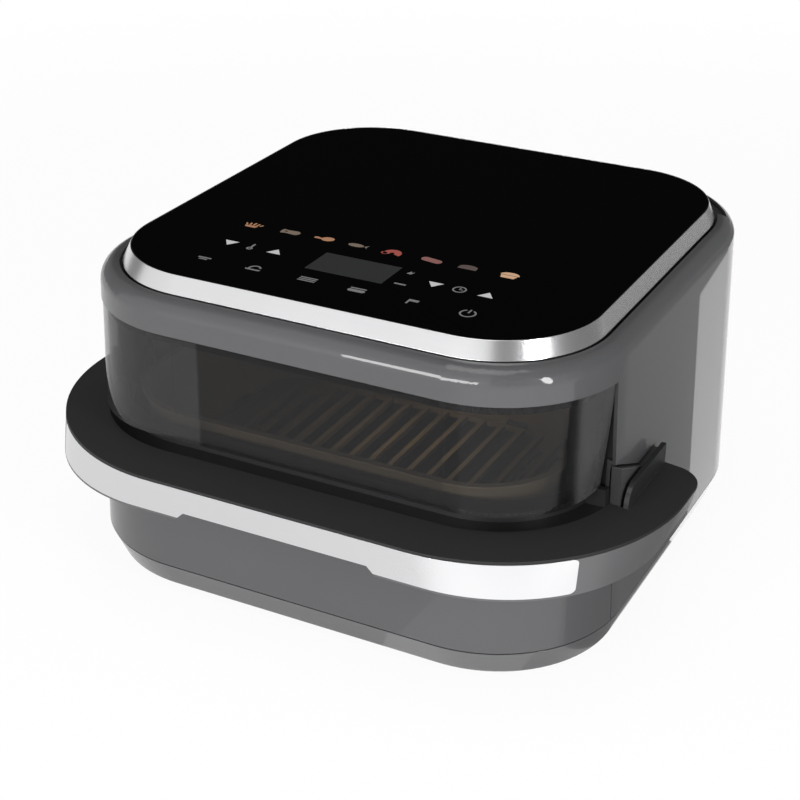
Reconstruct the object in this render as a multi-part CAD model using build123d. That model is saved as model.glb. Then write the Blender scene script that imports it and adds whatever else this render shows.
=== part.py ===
from build123d import *
from dataclasses import astuple, dataclass
from math import cos, pi, sin
import os

os.makedirs("parts", exist_ok=True)

# A low, wide air fryer grill: a rounded square housing with a flat touch glass on top, and a pull-out
# drawer whose tinted window, handle band and lower panel wrap the front corners.
# Millimetres. +Z up, the drawer pulls out along -Y, the origin is on the floor under the middle.

# Overall shape of the body, read at the groove over the plinth and at the lower edge of the fascia
BODY_WIDTH_LOW = 395.2
BODY_WIDTH_HIGH = 383.8
BODY_DEPTH_LOW = 398.7
BODY_DEPTH_HIGH = 393.3
BODY_FRONT_RADIUS_LOW = 94.0
BODY_FRONT_RADIUS_HIGH = 90.5
BODY_BACK_RADIUS = 102.0
FOOT_HEIGHT = 8.0
PLINTH_HEIGHT = 22.4
ROOF_HEIGHT = 31.1
FASCIA_HEIGHT = 23.4
SHOULDER_RADIUS = 12.0
WALL = 2.5

# Plinth under the groove
PLINTH_SLOPE_SIDE = 7.4
PLINTH_SLOPE_FRONT = 10.3
PLINTH_SLOPE_BACK = 9.0
PLINTH_EDGE_RADIUS = 5.0
GROOVE_GAP = 1.2
BASE_FLOOR = 3.0
FOOT_RADIUS = 10.0
FOOT_STUD_RADIUS = 4.0
FOOT_X = 150.0
FOOT_FRONT_INSET = 58.0
FOOT_BACK_INSET = 52.0

# Touch glass, its bevelled ring and what is under them
GLASS_WIDTH = 340.0
GLASS_DEPTH = 341.4
GLASS_CORNER_RADIUS = 70.0
GLASS_THICKNESS = 4.0
GLASS_BACK_INSET = 29.1
RING_HEIGHT = 11.1
RING_REACH = 5.7
RING_FRONT_REACH = 7.6
RING_LIP = 0.8
RING_SEAT_WIDTH = 7.0
RING_SKIRT = 6.0
RING_SLIT = 2.0
REAR_SLOT_WIDTH = 9.0
REAR_SLOT_REACH = 67.0
REAR_SLOT_WALL = 1.2
REAR_VENT_THICKNESS = 2.0
REAR_VENT_DROP = 4.0
REAR_VENT_RIB_PITCH = 14.0
REAR_VENT_RIB_WIDTH = 4.0
CARRIER_THICKNESS = 2.4
CARRIER_MARGIN = 3.0
CARRIER_WALL = 2.5
UPSTAND_COVER = 0.4
UPSTAND_WALL = 1.6
PLATEAU_INSET = 10.0
BOARD_THICKNESS = 1.6
BOARD_DROP = 5.6
BOARD_MARGIN = 18.0
BOARD_POST_RADIUS = 3.0

# Keys and display, measured from the middle of the printed field on the glass
GRAPHICS_X = -2.5
KEY_ROW_FOOD_Y = -58.4
KEY_ROW_SET_Y = -94.0
KEY_ROW_MODE_Y = -125.5
FOOD_KEYS = 8
FOOD_KEY_PITCH = 28.2
MODE_KEYS = 6
MODE_KEY_PITCH = 39.2
SET_KEY_X = 76.5
SET_KEY_PITCH = 37.5
KEY_PAD_RADIUS = 4.0
DISPLAY_WIDTH = 58.0
DISPLAY_DEPTH = 30.0

# Split between the drawer front and the housing
DRAWER_FRONT_DEPTH = 80.6
SPLIT_GAP = 0.6
WINDOW_GAP = 0.5

# Window of the drawer
WINDOW_HEIGHT = 74.7
WINDOW_THICKNESS = 3.0
WINDOW_WIDTH_LOW = 366.2
WINDOW_WIDTH_HIGH = 380.6
WINDOW_FRONT_SET_LOW = 1.6
WINDOW_FRONT_SET_HIGH = 0.3
WINDOW_RADIUS_LOW = 70.5
WINDOW_RADIUS_HIGH = 89.0
FRAME_DEPTH = 7.2
FRAME_BAR = 5.7
FRAME_POST = 6.0
FRAME_POST_WIDTH = 12.0
PANE_THICKNESS = 3.0
PANE_MARGIN = 1.5

# Finger groove between the window and the handle
LIP_DROP = 11.4
LIP_WIDTH = 3.0
LIP_THICKNESS = 1.1
CHANNEL_WALL = 2.0
CHANNEL_DEPTH = 18.0

# Handle band
HANDLE_REACH = 25.5
HANDLE_WIDTH_TOP = 462.8
HANDLE_WIDTH_LOW = 446.6
HANDLE_RADIUS_TOP = 137.0
HANDLE_RADIUS_LOW = 114.0
HANDLE_HEIGHT = 25.9
HANDLE_CROWN = 4.2
HANDLE_COVER_EDGE = 2.2
HANDLE_WALL = 3.0
HANDLE_FLOOR = 2.5
HANDLE_INNER_WALL = 2.3
HANDLE_FIT = 0.2
HANDLE_END_SET = 70.0
HANDLE_END_RADIUS = 18.0
FINGER_POCKET_HALF = 78.0
FINGER_POCKET_DEPTH = 15.0
NOTCH_HALF_LOW = 75.0
NOTCH_HALF_HIGH = 69.0
NOTCH_HEIGHT = 5.8
PLATE_THICKNESS = 1.0
PLATE_HALF = 195.0
PLATE_RISE = 1.3
PLATE_END_RADIUS = 3.0

# Arms of the drawer, which slide into pockets in the sides of the housing
ARM_INNER_HALF = 190.0
ARM_THICKNESS = 7.3
ARM_LENGTH = 70.0
ARM_HEIGHT_FRONT = 56.8
ARM_HEIGHT_BACK = 39.0
ARM_RAMP = 40.0
ARM_CLEARANCE = 1.0
POCKET_WALL = 2.5
CHEEK_GAP = 2.3
CHEEK_THICKNESS = 3.6
CHEEK_HEIGHT = 17.5
CHEEK_NOSE = 14.0

# Drawer box behind the front
BULKHEAD_SET = 0.7
BULKHEAD_THICKNESS = 4.7
BULKHEAD_FIT = 0.6
SEAL_THICKNESS = 4.0
SEAL_WIDTH = 6.0
SEAL_INNER_MARGIN = 2.5
SEAL_CLEARANCE = 0.3
PANEL_FLOOR = 2.0
CAVITY_FRAME_THICKNESS = 3.0

# Basket and the grill plate in it
BASKET_WIDTH = 314.0
BASKET_LENGTH = 224.0
BASKET_RIM_RISE = 7.5
BASKET_WALL = 1.5
BASKET_FRONT_GAP = 24.6
BASKET_FRONT_RADIUS = 60.0
BASKET_BACK_RADIUS = 40.0
BASKET_FLOOR_RADIUS = 12.0
BASKET_RIM = 4.0
BRACKET_X = 70.0
BRACKET_WIDTH = 20.0
BRACKET_LOW = 18.0
BRACKET_HEIGHT = 40.0
PLATE_MARGIN = 5.0
GRILL_THICKNESS = 3.0
GRILL_LEG = 17.2
GRILL_LEG_RADIUS = 6.0
GRILL_LEG_INSET = 32.0
GRILL_RIB_WIDTH = 4.0
GRILL_RIB_HEIGHT = 4.0
GRILL_RIB_PITCH = 16.0
GRILL_SLOT_WIDTH = 5.0
BUMPER_LENGTH = 16.0
BUMPER_HEIGHT = 8.0
BUMPER_FRONT = 7.0
BUMPER_BACK = 27.0
BUMPER_X = 55.0
SOFT_GAP = 0.3

# Cavity in the housing
CAVITY_WIDTH = 332.0
CAVITY_FLOOR = 40.0
SHEET = 1.0
BASKET_LIFT = 3.0
RAIL_DEPTH = 6.0
RAIL_LEDGE = 4.0
RAIL_SLOT = 4.0
RAIL_RISE = 16.0
RAIL_MARGIN = 2.0
RUNNER_THICKNESS = 3.4
SIDE_CLEARANCE = 1.3

# Hot air fan, heaters and the motor behind the cavity
FAN_HEIGHT = 122.0
RING_HEATER_HEADROOM = 6.8
BASKET_BACK_GAP = 8.7
SHAFT_RADIUS = 3.0
SHAFT_RUNNING = 0.05
SHAFT_HOLE = 6.0
BAFFLE_SET = 27.0
BAFFLE_HOLE_RADIUS = 4.5
BAFFLE_RING_PITCH = 13.0
BAFFLE_RINGS = 3
BAFFLE_SLOT_WIDTH = 6.0
BAFFLE_SLOT_HEIGHT = 90.0
BAFFLE_SLOT_PITCH = 12.0
BAFFLE_SLOTS = 4
BAFFLE_SLOT_X = 116.0
FAN_GAP = 3.0
FAN_LENGTH = 17.0
FAN_RADIUS = 52.0
FAN_HUB_RADIUS = 9.0
FAN_BLADES = 14
FAN_BLADE_ROOT = 22.0
FAN_DISC = 1.5
BLADE_THICKNESS = 1.2
RING_HEATER_RADIUS = 66.0
HEATER_TUBE = 3.2
HEATER_CLEARANCE = 0.6
TERMINAL_X = 16.0
TERMINAL_SLEEVE = 4.0
TERMINAL_OUT = 12.0
GRILL_HEATER_DROP = 14.0
GRILL_HEATER_HALF = 132.0
GRILL_HEATER_PITCH = 66.0
GRILL_HEATER_FRONT = 20.0
GRILL_HEATER_BACK = 50.0
GUARD_DROP = 27.0
GUARD_WIRE = 1.5
GUARD_HALF = 148.0
GUARD_END = 4.0
GUARD_CROSS = 1.8
GUARD_POST = 2.4
GUARD_POST_X = 120.0
GUARD_WIRES = 9
GUARD_FRONT = 6.0
GUARD_BACK = 34.0
INSULATION_TOP = 6.0
INSULATION_BACK = 8.0
INSULATION_MARGIN = 6.0
BRACKET_PLATE = 1.6
MOTOR_PLATE_WIDTH = 100.0
MOTOR_PLATE_HEIGHT = 70.0
MOTOR_SCREW_X = 42.0
MOTOR_SCREW_Z = 27.0
MOTOR_RADIUS = 30.0
MOTOR_LENGTH = 37.0
MOTOR_BOSS_RADIUS = 9.0
MOTOR_BOSS = 4.0
COOLING_GAP = 4.0
COOLING_RADIUS = 46.0
COOLING_LENGTH = 12.0
COOLING_BLADES = 7
COOLING_PITCH = 35.0
SHROUD_RADIUS = 50.0
SHROUD_WALL = 2.0
SHROUD_LEAD = 4.0
SHAFT_TAIL = 4.0

# Small parts
SCREW_HEAD_RADIUS = 3.5
SCREW_HEAD = 2.2
SCREW_RADIUS = 1.8
SCREW_FIT = 0.1
LIGHT_FIT = 0.3
LAMP_Y = 50.0
LAMP_DROP = 33.0
LENS_RADIUS = 15.0
LENS_DEPTH = 3.0
LAMP_HOUSING_RADIUS = 18.0
LAMP_HOUSING_DEPTH = 15.0
BULB_RADIUS = 6.0
CUTOUT_X = 90.0
CUTOUT_Y = 30.0
CUTOUT_RADIUS = 8.0
CUTOUT_HEIGHT = 10.0
PROBE_X = 110.0
PROBE_DROP = 28.0
PROBE_RADIUS = 2.0
PROBE_IN = 18.0
PROBE_OUT = 14.0
SWITCH_SET = 14.0
SWITCH_DROP = 28.0
SWITCH_WIDTH = 10.0
SWITCH_HEIGHT = 20.0
SWITCH_LENGTH = 18.0
PLUNGER_RADIUS = 2.2
PLUNGER_TRAVEL = 2.0
PLUNGER_DEPTH = 10.0
REAR_PANEL_HALF = 85.0
REAR_PANEL_HEIGHT = 146.0
REAR_PANEL_RISE = 12.0
REAR_PANEL_RADIUS = 12.0
REAR_SCREW_INSET = 8.0
REAR_BOSS_DEPTH = 12.0
LOUVRE_WIDTH = 80.0
LOUVRE_HEIGHT = 4.0
LOUVRE_PITCH = 9.0
LOUVRES = 9
GLAND_X = -65.0
GLAND_RISE = 30.0
GLAND_RADIUS = 8.0
GLAND_FLANGE = 11.0
GLAND_FLANGE_THICKNESS = 2.0
GLAND_BORE = 3.6
MAINS_BOARD_X = -105.0
MAINS_BOARD_WIDTH = 70.0
MAINS_BOARD_DEPTH = 60.0
MAINS_BOARD_FORWARD = 5.0
MAINS_BOARD_RISE = 39.0
POST_RADIUS = 5.0
LINER_POST_X = 135.0
LINER_POST_INSET = 24.0
CASE_BOSS_RADIUS = 6.0
CASE_BOSS_X = 178.0
CASE_BOSS_FRONT = -40.0
CASE_BOSS_BACK = 110.0
CASE_BOSS_HEIGHT = 26.0
CABLE_RADIUS = 2.5
CABLE_BEND = 36.0
CABLE_BEND_END = 7.0
CONNECTOR = 10.0
OVER = 1.0

# Places that follow from the sizes above
GROOVE_Z = FOOT_HEIGHT + PLINTH_HEIGHT
CAVITY_TOP = FAN_HEIGHT + RING_HEATER_RADIUS + HEATER_TUBE + RING_HEATER_HEADROOM
SHOULDER_Z = CAVITY_TOP + ROOF_HEIGHT
FASCIA_Z = SHOULDER_Z - FASCIA_HEIGHT
GLASS_Z = SHOULDER_Z + RING_HEIGHT
PLINTH_Z = GROOVE_Z - GROOVE_GAP
DECK_Z = PLINTH_Z - WALL
BASE_FLOOR_Z = FOOT_HEIGHT + BASE_FLOOR
BACK_Y = (BODY_DEPTH_LOW + HANDLE_REACH) / 2
FRONT_LOW_Y = BACK_Y - BODY_DEPTH_LOW
FRONT_HIGH_Y = BACK_Y - BODY_DEPTH_HIGH
HANDLE_FRONT_Y = FRONT_LOW_Y - HANDLE_REACH
SPLIT_Y = FRONT_LOW_Y + DRAWER_FRONT_DEPTH
DRAWER_END_Y = SPLIT_Y - SPLIT_GAP
BULKHEAD_BACK_Y = DRAWER_END_Y - BULKHEAD_SET
BULKHEAD_FRONT_Y = BULKHEAD_BACK_Y - BULKHEAD_THICKNESS
FRAME_FRONT_Y = BULKHEAD_BACK_Y + SEAL_THICKNESS
FRAME_BACK_Y = FRAME_FRONT_Y + CAVITY_FRAME_THICKNESS
CAVITY_HALF = CAVITY_WIDTH / 2
WINDOW_TOP_Z = FASCIA_Z - WINDOW_GAP
WINDOW_LOW_Z = WINDOW_TOP_Z - WINDOW_HEIGHT
LIP_Z = WINDOW_LOW_Z - LIP_DROP
HANDLE_TOP_Z = LIP_Z - HANDLE_CROWN
HANDLE_LOW_Z = HANDLE_TOP_Z - HANDLE_HEIGHT
COVER_Z = HANDLE_TOP_Z - HANDLE_COVER_EDGE
SHELF_Z = LIP_Z - LIP_THICKNESS
PANEL_TOP_Z = SHELF_Z - CHANNEL_WALL
SHELF_TOP_Z = WINDOW_LOW_Z + CHANNEL_WALL
ARM_OUTER_HALF = ARM_INNER_HALF + ARM_THICKNESS
ARM_BACK_Y = SPLIT_Y + ARM_LENGTH
POCKET_HALF = ARM_INNER_HALF - ARM_CLEARANCE
BASKET_HALF = BASKET_WIDTH / 2
BASKET_FRONT_Y = FRONT_LOW_Y + BASKET_FRONT_GAP
BASKET_BACK_Y = BASKET_FRONT_Y + BASKET_LENGTH
BAFFLE_Y = BASKET_BACK_Y + BASKET_BACK_GAP
CAVITY_BACK_Y = BAFFLE_Y + BAFFLE_SET
BASKET_Z = CAVITY_FLOOR + BASKET_LIFT
BASKET_RIM_Z = SHELF_TOP_Z + BASKET_RIM_RISE
OPENING_HALF = BASKET_HALF + BASKET_RIM + SOFT_GAP
GRILL_Z = BASKET_Z + BASKET_WALL + SOFT_GAP + GRILL_LEG
RAIL_Z = CAVITY_FLOOR + RAIL_RISE
FAN_Y = BAFFLE_Y + SHEET + FAN_GAP
INSULATION_Y = CAVITY_BACK_Y + SHEET
MOTOR_PLATE_Y = INSULATION_Y + INSULATION_BACK
MOTOR_Y = MOTOR_PLATE_Y + BRACKET_PLATE
MOTOR_END_Y = MOTOR_Y + MOTOR_LENGTH
COOLING_Y = MOTOR_END_Y + MOTOR_BOSS + COOLING_GAP
SHAFT_END_Y = COOLING_Y + COOLING_LENGTH + SHAFT_TAIL
GRILL_HEATER_Z = CAVITY_TOP - GRILL_HEATER_DROP
GUARD_Z = CAVITY_TOP - GUARD_DROP
INNER_BACK_Y = BACK_Y - WALL
LENS_Z = CAVITY_TOP - LAMP_DROP
LAMP_CENTRE_Y = FRAME_BACK_Y + LAMP_Y
SWITCH_X = CAVITY_HALF + SWITCH_SET
SWITCH_Z = CAVITY_TOP - SWITCH_DROP
PROBE_Z = CAVITY_TOP - PROBE_DROP
CARRIER_Z = SHOULDER_Z - RING_SKIRT - CARRIER_THICKNESS
CARRIER_TOP_Z = CARRIER_Z + CARRIER_THICKNESS
GLASS_SEAT_Z = GLASS_Z - GLASS_THICKNESS
TOUCH_BOARD_TOP_Z = GLASS_SEAT_Z - BOARD_DROP
TOUCH_BOARD_Z = TOUCH_BOARD_TOP_Z - BOARD_THICKNESS
REAR_PANEL_Z = GROOVE_Z + REAR_PANEL_RISE
MAINS_BOARD_Z = BASE_FLOOR_Z + MAINS_BOARD_RISE
MAINS_BOARD_BACK_Y = (MOTOR_PLATE_Y + INNER_BACK_Y + MAINS_BOARD_DEPTH) / 2 - MAINS_BOARD_FORWARD
FAR = HANDLE_WIDTH_TOP


@dataclass(frozen=True)
class Outline:
    """A rounded rectangle in plan, with its own corner radii at the front and at the back."""

    half: float
    front: float
    back: float
    r_front: float
    r_back: float

    def inset(self, d):
        r_front = max(self.r_front - d, 1.0)
        r_back = max(self.r_back - d, 1.0)
        return Outline(self.half - d, self.front + d, self.back - d, r_front, r_back)

    def face(self, z):
        corners = [
            (self.half - self.r_front, self.front + self.r_front, self.r_front, 270),
            (self.half - self.r_back, self.back - self.r_back, self.r_back, 0),
            (self.r_back - self.half, self.back - self.r_back, self.r_back, 90),
            (self.r_front - self.half, self.front + self.r_front, self.r_front, 180),
        ]
        arcs = [CenterArc((x, y, z), r, start, 90) for x, y, r, start in corners]
        edges = []
        for arc, following in zip(arcs, arcs[1:] + arcs[:1]):
            edges += [arc, Line(arc @ 1, following @ 0)]
        return Face(Wire(edges))

    def prism(self, z_low, z_high):
        return extrude(self.face(z_low), amount=z_high - z_low, dir=(0, 0, 1))


@dataclass(frozen=True)
class Drafted:
    """A wall that runs straight from one outline to another, as a moulded side with draft does."""

    low: Outline
    z_low: float
    high: Outline
    z_high: float

    def at(self, z):
        t = (z - self.z_low) / (self.z_high - self.z_low)
        pairs = zip(astuple(self.low), astuple(self.high))
        return Outline(*[a + t * (b - a) for a, b in pairs])

    def solid(self, z_low, z_high, inset=0.0):
        low = self.at(z_low).inset(inset).face(z_low)
        high = self.at(z_high).inset(inset).face(z_high)
        return loft([low, high], ruled=True)

    def wall(self, z_low, z_high, outer, inner):
        return self.solid(z_low, z_high, outer) - self.solid(z_low - OVER, z_high + OVER, inner)


BODY_LOW = Outline(BODY_WIDTH_LOW / 2, FRONT_LOW_Y, BACK_Y, BODY_FRONT_RADIUS_LOW, BODY_BACK_RADIUS)
BODY_HIGH = Outline(BODY_WIDTH_HIGH / 2, FRONT_HIGH_Y, BACK_Y, BODY_FRONT_RADIUS_HIGH, BODY_BACK_RADIUS)
BODY = Drafted(BODY_LOW, GROOVE_Z, BODY_HIGH, FASCIA_Z)
PLINTH_LOW = Outline(
    BODY_LOW.half - PLINTH_SLOPE_SIDE,
    BODY_LOW.front + PLINTH_SLOPE_FRONT,
    BODY_LOW.back - PLINTH_SLOPE_BACK,
    BODY_LOW.r_front - PLINTH_SLOPE_SIDE,
    BODY_LOW.r_back - PLINTH_SLOPE_BACK,
)
PLINTH = Drafted(PLINTH_LOW, FOOT_HEIGHT, BODY_LOW, GROOVE_Z)
WINDOW = Drafted(
    Outline(WINDOW_WIDTH_LOW / 2, BODY.at(WINDOW_LOW_Z).front + WINDOW_FRONT_SET_LOW, BACK_Y,
            WINDOW_RADIUS_LOW, BODY_BACK_RADIUS),
    WINDOW_LOW_Z,
    Outline(WINDOW_WIDTH_HIGH / 2, BODY.at(WINDOW_TOP_Z).front + WINDOW_FRONT_SET_HIGH, BACK_Y,
            WINDOW_RADIUS_HIGH, BODY_BACK_RADIUS),
    WINDOW_TOP_Z,
)
HANDLE = Drafted(
    Outline(HANDLE_WIDTH_LOW / 2, HANDLE_FRONT_Y, BACK_Y, HANDLE_RADIUS_LOW, BODY_BACK_RADIUS),
    HANDLE_LOW_Z,
    Outline(HANDLE_WIDTH_TOP / 2, HANDLE_FRONT_Y, BACK_Y, HANDLE_RADIUS_TOP, BODY_BACK_RADIUS),
    HANDLE_TOP_Z,
)
GLASS_BACK_Y = BACK_Y - GLASS_BACK_INSET
GLASS = Outline(GLASS_WIDTH / 2, GLASS_BACK_Y - GLASS_DEPTH, GLASS_BACK_Y, GLASS_CORNER_RADIUS,
                GLASS_CORNER_RADIUS)
RING_LOW = Outline(
    GLASS.half + RING_REACH,
    GLASS.front - RING_FRONT_REACH,
    GLASS.back + RING_REACH,
    GLASS.r_front + RING_REACH,
    GLASS.r_back + RING_REACH,
)
RING = Drafted(RING_LOW, SHOULDER_Z, GLASS.inset(-RING_LIP), GLASS_Z)
BASKET = Outline(BASKET_HALF, BASKET_FRONT_Y, BASKET_BACK_Y, BASKET_FRONT_RADIUS, BASKET_BACK_RADIUS)


def block(x, y, z):
    """A box from its low and high limits along each axis."""
    size = [b - a for a, b in (x, y, z)]
    centre = [(a + b) / 2 for a, b in (x, y, z)]
    return Pos(*centre) * Box(*size)


def rod_y(x, z, y_low, y_high, radius):
    """A round bar along Y."""
    return Pos(x, (y_low + y_high) / 2, z) * Rot(90, 0, 0) * Cylinder(radius, y_high - y_low)


def rod_x(y, z, x_low, x_high, radius):
    """A round bar along X."""
    return Pos((x_low + x_high) / 2, y, z) * Rot(0, 90, 0) * Cylinder(radius, x_high - x_low)


def rod_z(x, y, z_low, z_high, radius):
    """A round bar along Z."""
    return Pos(x, y, (z_low + z_high) / 2) * Cylinder(radius, z_high - z_low)


def both_sides(piece):
    """A piece and its mirror image across the middle of the object."""
    return [piece, mirror(piece, about=Plane.YZ)]


def in_front_of(y):
    """Everything in front of a plane, as a cutter."""
    return block((-FAR, FAR), (-FAR, y), (-FAR, FAR))


def behind(y):
    """Everything behind a plane, as a cutter."""
    return block((-FAR, FAR), (y, FAR), (-FAR, FAR))


def below(z):
    """Everything below a height, as a cutter."""
    return block((-FAR, FAR), (-FAR, FAR), (-FAR, z))


def above(z):
    """Everything above a height, as a cutter."""
    return block((-FAR, FAR), (-FAR, FAR), (z, FAR))


def ring_places(count, radius, phase=0.0):
    """Points round a circle, as pairs."""
    angles = [2 * pi * i / count + phase for i in range(count)]
    return [(radius * cos(a), radius * sin(a)) for a in angles]


def key_row(count, pitch):
    """Middles of an even row of keys across the printed field."""
    return [GRAPHICS_X + (i - (count - 1) / 2) * pitch for i in range(count)]


def key_places():
    """Where the touch keys are on the glass."""
    food = [(x, KEY_ROW_FOOD_Y) for x in key_row(FOOD_KEYS, FOOD_KEY_PITCH)]
    mode = [(x, KEY_ROW_MODE_Y) for x in key_row(MODE_KEYS, MODE_KEY_PITCH)]
    sides = [-SET_KEY_X, SET_KEY_X]
    setting = [(GRAPHICS_X + s + d * SET_KEY_PITCH / 2, KEY_ROW_SET_Y) for s in sides for d in (-1, 1)]
    return food + setting + mode


def foot_places():
    front = FRONT_LOW_Y + FOOT_FRONT_INSET
    back = BACK_Y - FOOT_BACK_INSET
    return [(x, y) for x in (-FOOT_X, FOOT_X) for y in (front, back)]


def liner_post_places():
    front = FRAME_BACK_Y + LINER_POST_INSET
    back = CAVITY_BACK_Y - LINER_POST_INSET
    return [(x, y) for x in (-LINER_POST_X, LINER_POST_X) for y in (front, back)]


def case_boss_places():
    return [(x, y) for x in (-CASE_BOSS_X, CASE_BOSS_X) for y in (CASE_BOSS_FRONT, CASE_BOSS_BACK)]


def rear_screw_places():
    x = REAR_PANEL_HALF - REAR_SCREW_INSET
    low = REAR_PANEL_Z + REAR_SCREW_INSET
    high = REAR_PANEL_Z + REAR_PANEL_HEIGHT - REAR_SCREW_INSET
    return [(sx, z) for sx in (-x, x) for z in (low, high)]


def motor_screw_places():
    heights = (FAN_HEIGHT - MOTOR_SCREW_Z, FAN_HEIGHT + MOTOR_SCREW_Z)
    return [(x, z) for x in (-MOTOR_SCREW_X, MOTOR_SCREW_X) for z in heights]


def handle_screw_places():
    x = BRACKET_X + BRACKET_WIDTH
    return [(-x, COVER_Z - 2 * SCREW_HEAD_RADIUS), (x, COVER_Z - 2 * SCREW_HEAD_RADIUS)]


def arm_profile(clearance, back):
    """Side view of an arm: tall where it meets the window, then a ramp down to a low tail."""
    top = HANDLE_LOW_Z + ARM_HEIGHT_FRONT + clearance
    tail = HANDLE_LOW_Z + ARM_HEIGHT_BACK + clearance
    front = DRAWER_END_Y - OVER * (clearance > 0)
    ramp = SPLIT_Y + ARM_RAMP + clearance
    low = HANDLE_LOW_Z - clearance
    crest = SPLIT_Y + 2 * clearance
    points = [(front, low), (back, low), (back, tail), (ramp, tail), (crest, top), (front, top)]
    return Polyline(*[(0, y, z) for y, z in points], close=True)


def arm_slab(x_low, x_high, clearance, back):
    """The arm's side view given a thickness along X."""
    face = Face(Wire(arm_profile(clearance, back)))
    return extrude(Pos(x_low, 0, 0) * face, amount=x_high - x_low, dir=(1, 0, 0))


def rear_slot(z_low, z_high, margin):
    """The vent slot behind the ring, wide across the back and round the rear corners."""
    wide = RING_LOW.inset(-REAR_SLOT_WIDTH - margin).prism(z_low, z_high)
    return wide - in_front_of(BACK_Y - REAR_SLOT_REACH - margin)


def make_outer_shell():
    """Sides, back, shoulder and fascia in one moulding, open at the bottom and at the drawer."""
    outer = BODY.solid(GROOVE_Z, SHOULDER_Z)
    outer = fillet(outer.edges().group_by(Axis.Z)[-1], SHOULDER_RADIUS)
    inner = BODY.solid(GROOVE_Z - OVER, SHOULDER_Z - WALL, WALL)
    inner = fillet(inner.edges().group_by(Axis.Z)[-1], SHOULDER_RADIUS - WALL)
    shell = outer - inner
    shell -= block((-FAR, FAR), (-FAR, SPLIT_Y), (-FAR, FASCIA_Z))
    shell -= RING_LOW.inset(-RING_SLIT).prism(SHOULDER_Z - 2 * WALL, GLASS_Z)
    shell -= rear_slot(SHOULDER_Z - 2 * WALL, GLASS_Z, 0)
    side = BODY.solid(GROOVE_Z, SHOULDER_Z - SHOULDER_RADIUS)
    pocket_back = ARM_BACK_Y + ARM_CLEARANCE
    around = arm_slab(POCKET_HALF - POCKET_WALL, FAR, ARM_CLEARANCE + POCKET_WALL, pocket_back + POCKET_WALL)
    pocket_walls = both_sides((around & side) - in_front_of(SPLIT_Y))
    pockets = both_sides(arm_slab(POCKET_HALF, FAR, ARM_CLEARANCE, pocket_back))
    for wall, pocket in zip(pocket_walls, pockets):
        shell = shell + wall - pocket
    shell -= rear_opening(0)
    shell += rear_bosses()
    for x, z in rear_screw_places():
        shell -= rod_y(x, z, INNER_BACK_Y - REAR_BOSS_DEPTH - OVER, BACK_Y, SCREW_RADIUS + SCREW_FIT)
    wall_line = BODY.solid(GROOVE_Z, SHOULDER_Z - SHOULDER_RADIUS, WALL / 2)
    top = GROOVE_Z + CASE_BOSS_HEIGHT
    for x, y in case_boss_places():
        shell += rod_z(x, y, GROOVE_Z, top, CASE_BOSS_RADIUS)
        web = block(sorted((x, FAR * x / CASE_BOSS_X)), (y - WALL / 2, y + WALL / 2), (GROOVE_Z, top))
        shell += web & wall_line
        shell -= rod_z(x, y, GROOVE_Z - OVER, top - WALL, SCREW_RADIUS + SCREW_FIT)
    right_half = shell & block((0, FAR), (-FAR, FAR), (-FAR, FAR))
    return right_half + mirror(right_half, about=Plane.YZ)


def rear_bosses():
    """Blocks behind the four corners of the rear panel, reaching out to the shell round it."""
    middle_z = REAR_PANEL_Z + REAR_PANEL_HEIGHT / 2
    y = (INNER_BACK_Y - REAR_BOSS_DEPTH, INNER_BACK_Y)
    return [block(outward(x, 0), y, outward(z, middle_z)) for x, z in rear_screw_places()]


def outward(place, middle):
    """Limits of a boss round a screw: short towards the middle of the panel, past the panel's edge outside."""
    inner = REAR_SCREW_INSET
    outer = REAR_SCREW_INSET + 2 * WALL
    return (place - inner, place + outer) if place > middle else (place - outer, place + inner)


def rear_opening(clearance):
    """The rounded window in the back that the rear panel fills."""
    half = REAR_PANEL_HALF + clearance
    middle = REAR_PANEL_Z + REAR_PANEL_HEIGHT / 2
    face = Plane.XZ * RectangleRounded(2 * half, REAR_PANEL_HEIGHT + 2 * clearance, REAR_PANEL_RADIUS)
    return extrude(Pos(0, INNER_BACK_Y, middle) * face, amount=WALL, dir=(0, 1, 0))


def make_base():
    """Plinth tray: sloped skirt, floor, a deck under the drawer front, and the posts it carries."""
    tray = PLINTH.solid(FOOT_HEIGHT, PLINTH_Z)
    tray = fillet(tray.edges().group_by(Axis.Z)[0], PLINTH_EDGE_RADIUS)
    tray -= PLINTH.solid(BASE_FLOOR_Z, DECK_Z, WALL)
    tray -= PLINTH.solid(DECK_Z - OVER, PLINTH_Z + OVER, WALL) - in_front_of(FRAME_BACK_Y)
    for x, y in liner_post_places():
        tray += rod_z(x, y, BASE_FLOOR_Z, CAVITY_FLOOR - SHEET, POST_RADIUS)
    for x, y in mains_post_places():
        tray += rod_z(x, y, BASE_FLOOR_Z, MAINS_BOARD_Z, POST_RADIUS)
    for x, y in case_boss_places():
        tray += rod_z(x, y, BASE_FLOOR_Z, GROOVE_Z, CASE_BOSS_RADIUS)
        tray -= rod_z(x, y, FOOT_HEIGHT - OVER, GROOVE_Z + OVER, SCREW_RADIUS + SCREW_FIT)
        tray -= rod_z(x, y, FOOT_HEIGHT - OVER, BASE_FLOOR_Z, SCREW_HEAD_RADIUS + SCREW_FIT)
    for x, y in foot_places():
        tray -= rod_z(x, y, FOOT_HEIGHT - OVER, BASE_FLOOR_Z, FOOT_STUD_RADIUS)
    return tray


def mains_post_places():
    back = MAINS_BOARD_BACK_Y
    inset = POST_RADIUS + WALL
    xs = (MAINS_BOARD_X - MAINS_BOARD_WIDTH / 2 + inset, MAINS_BOARD_X + MAINS_BOARD_WIDTH / 2 - inset)
    ys = (back - MAINS_BOARD_DEPTH + inset, back - inset)
    return [(x, y) for x in xs for y in ys]


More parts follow.
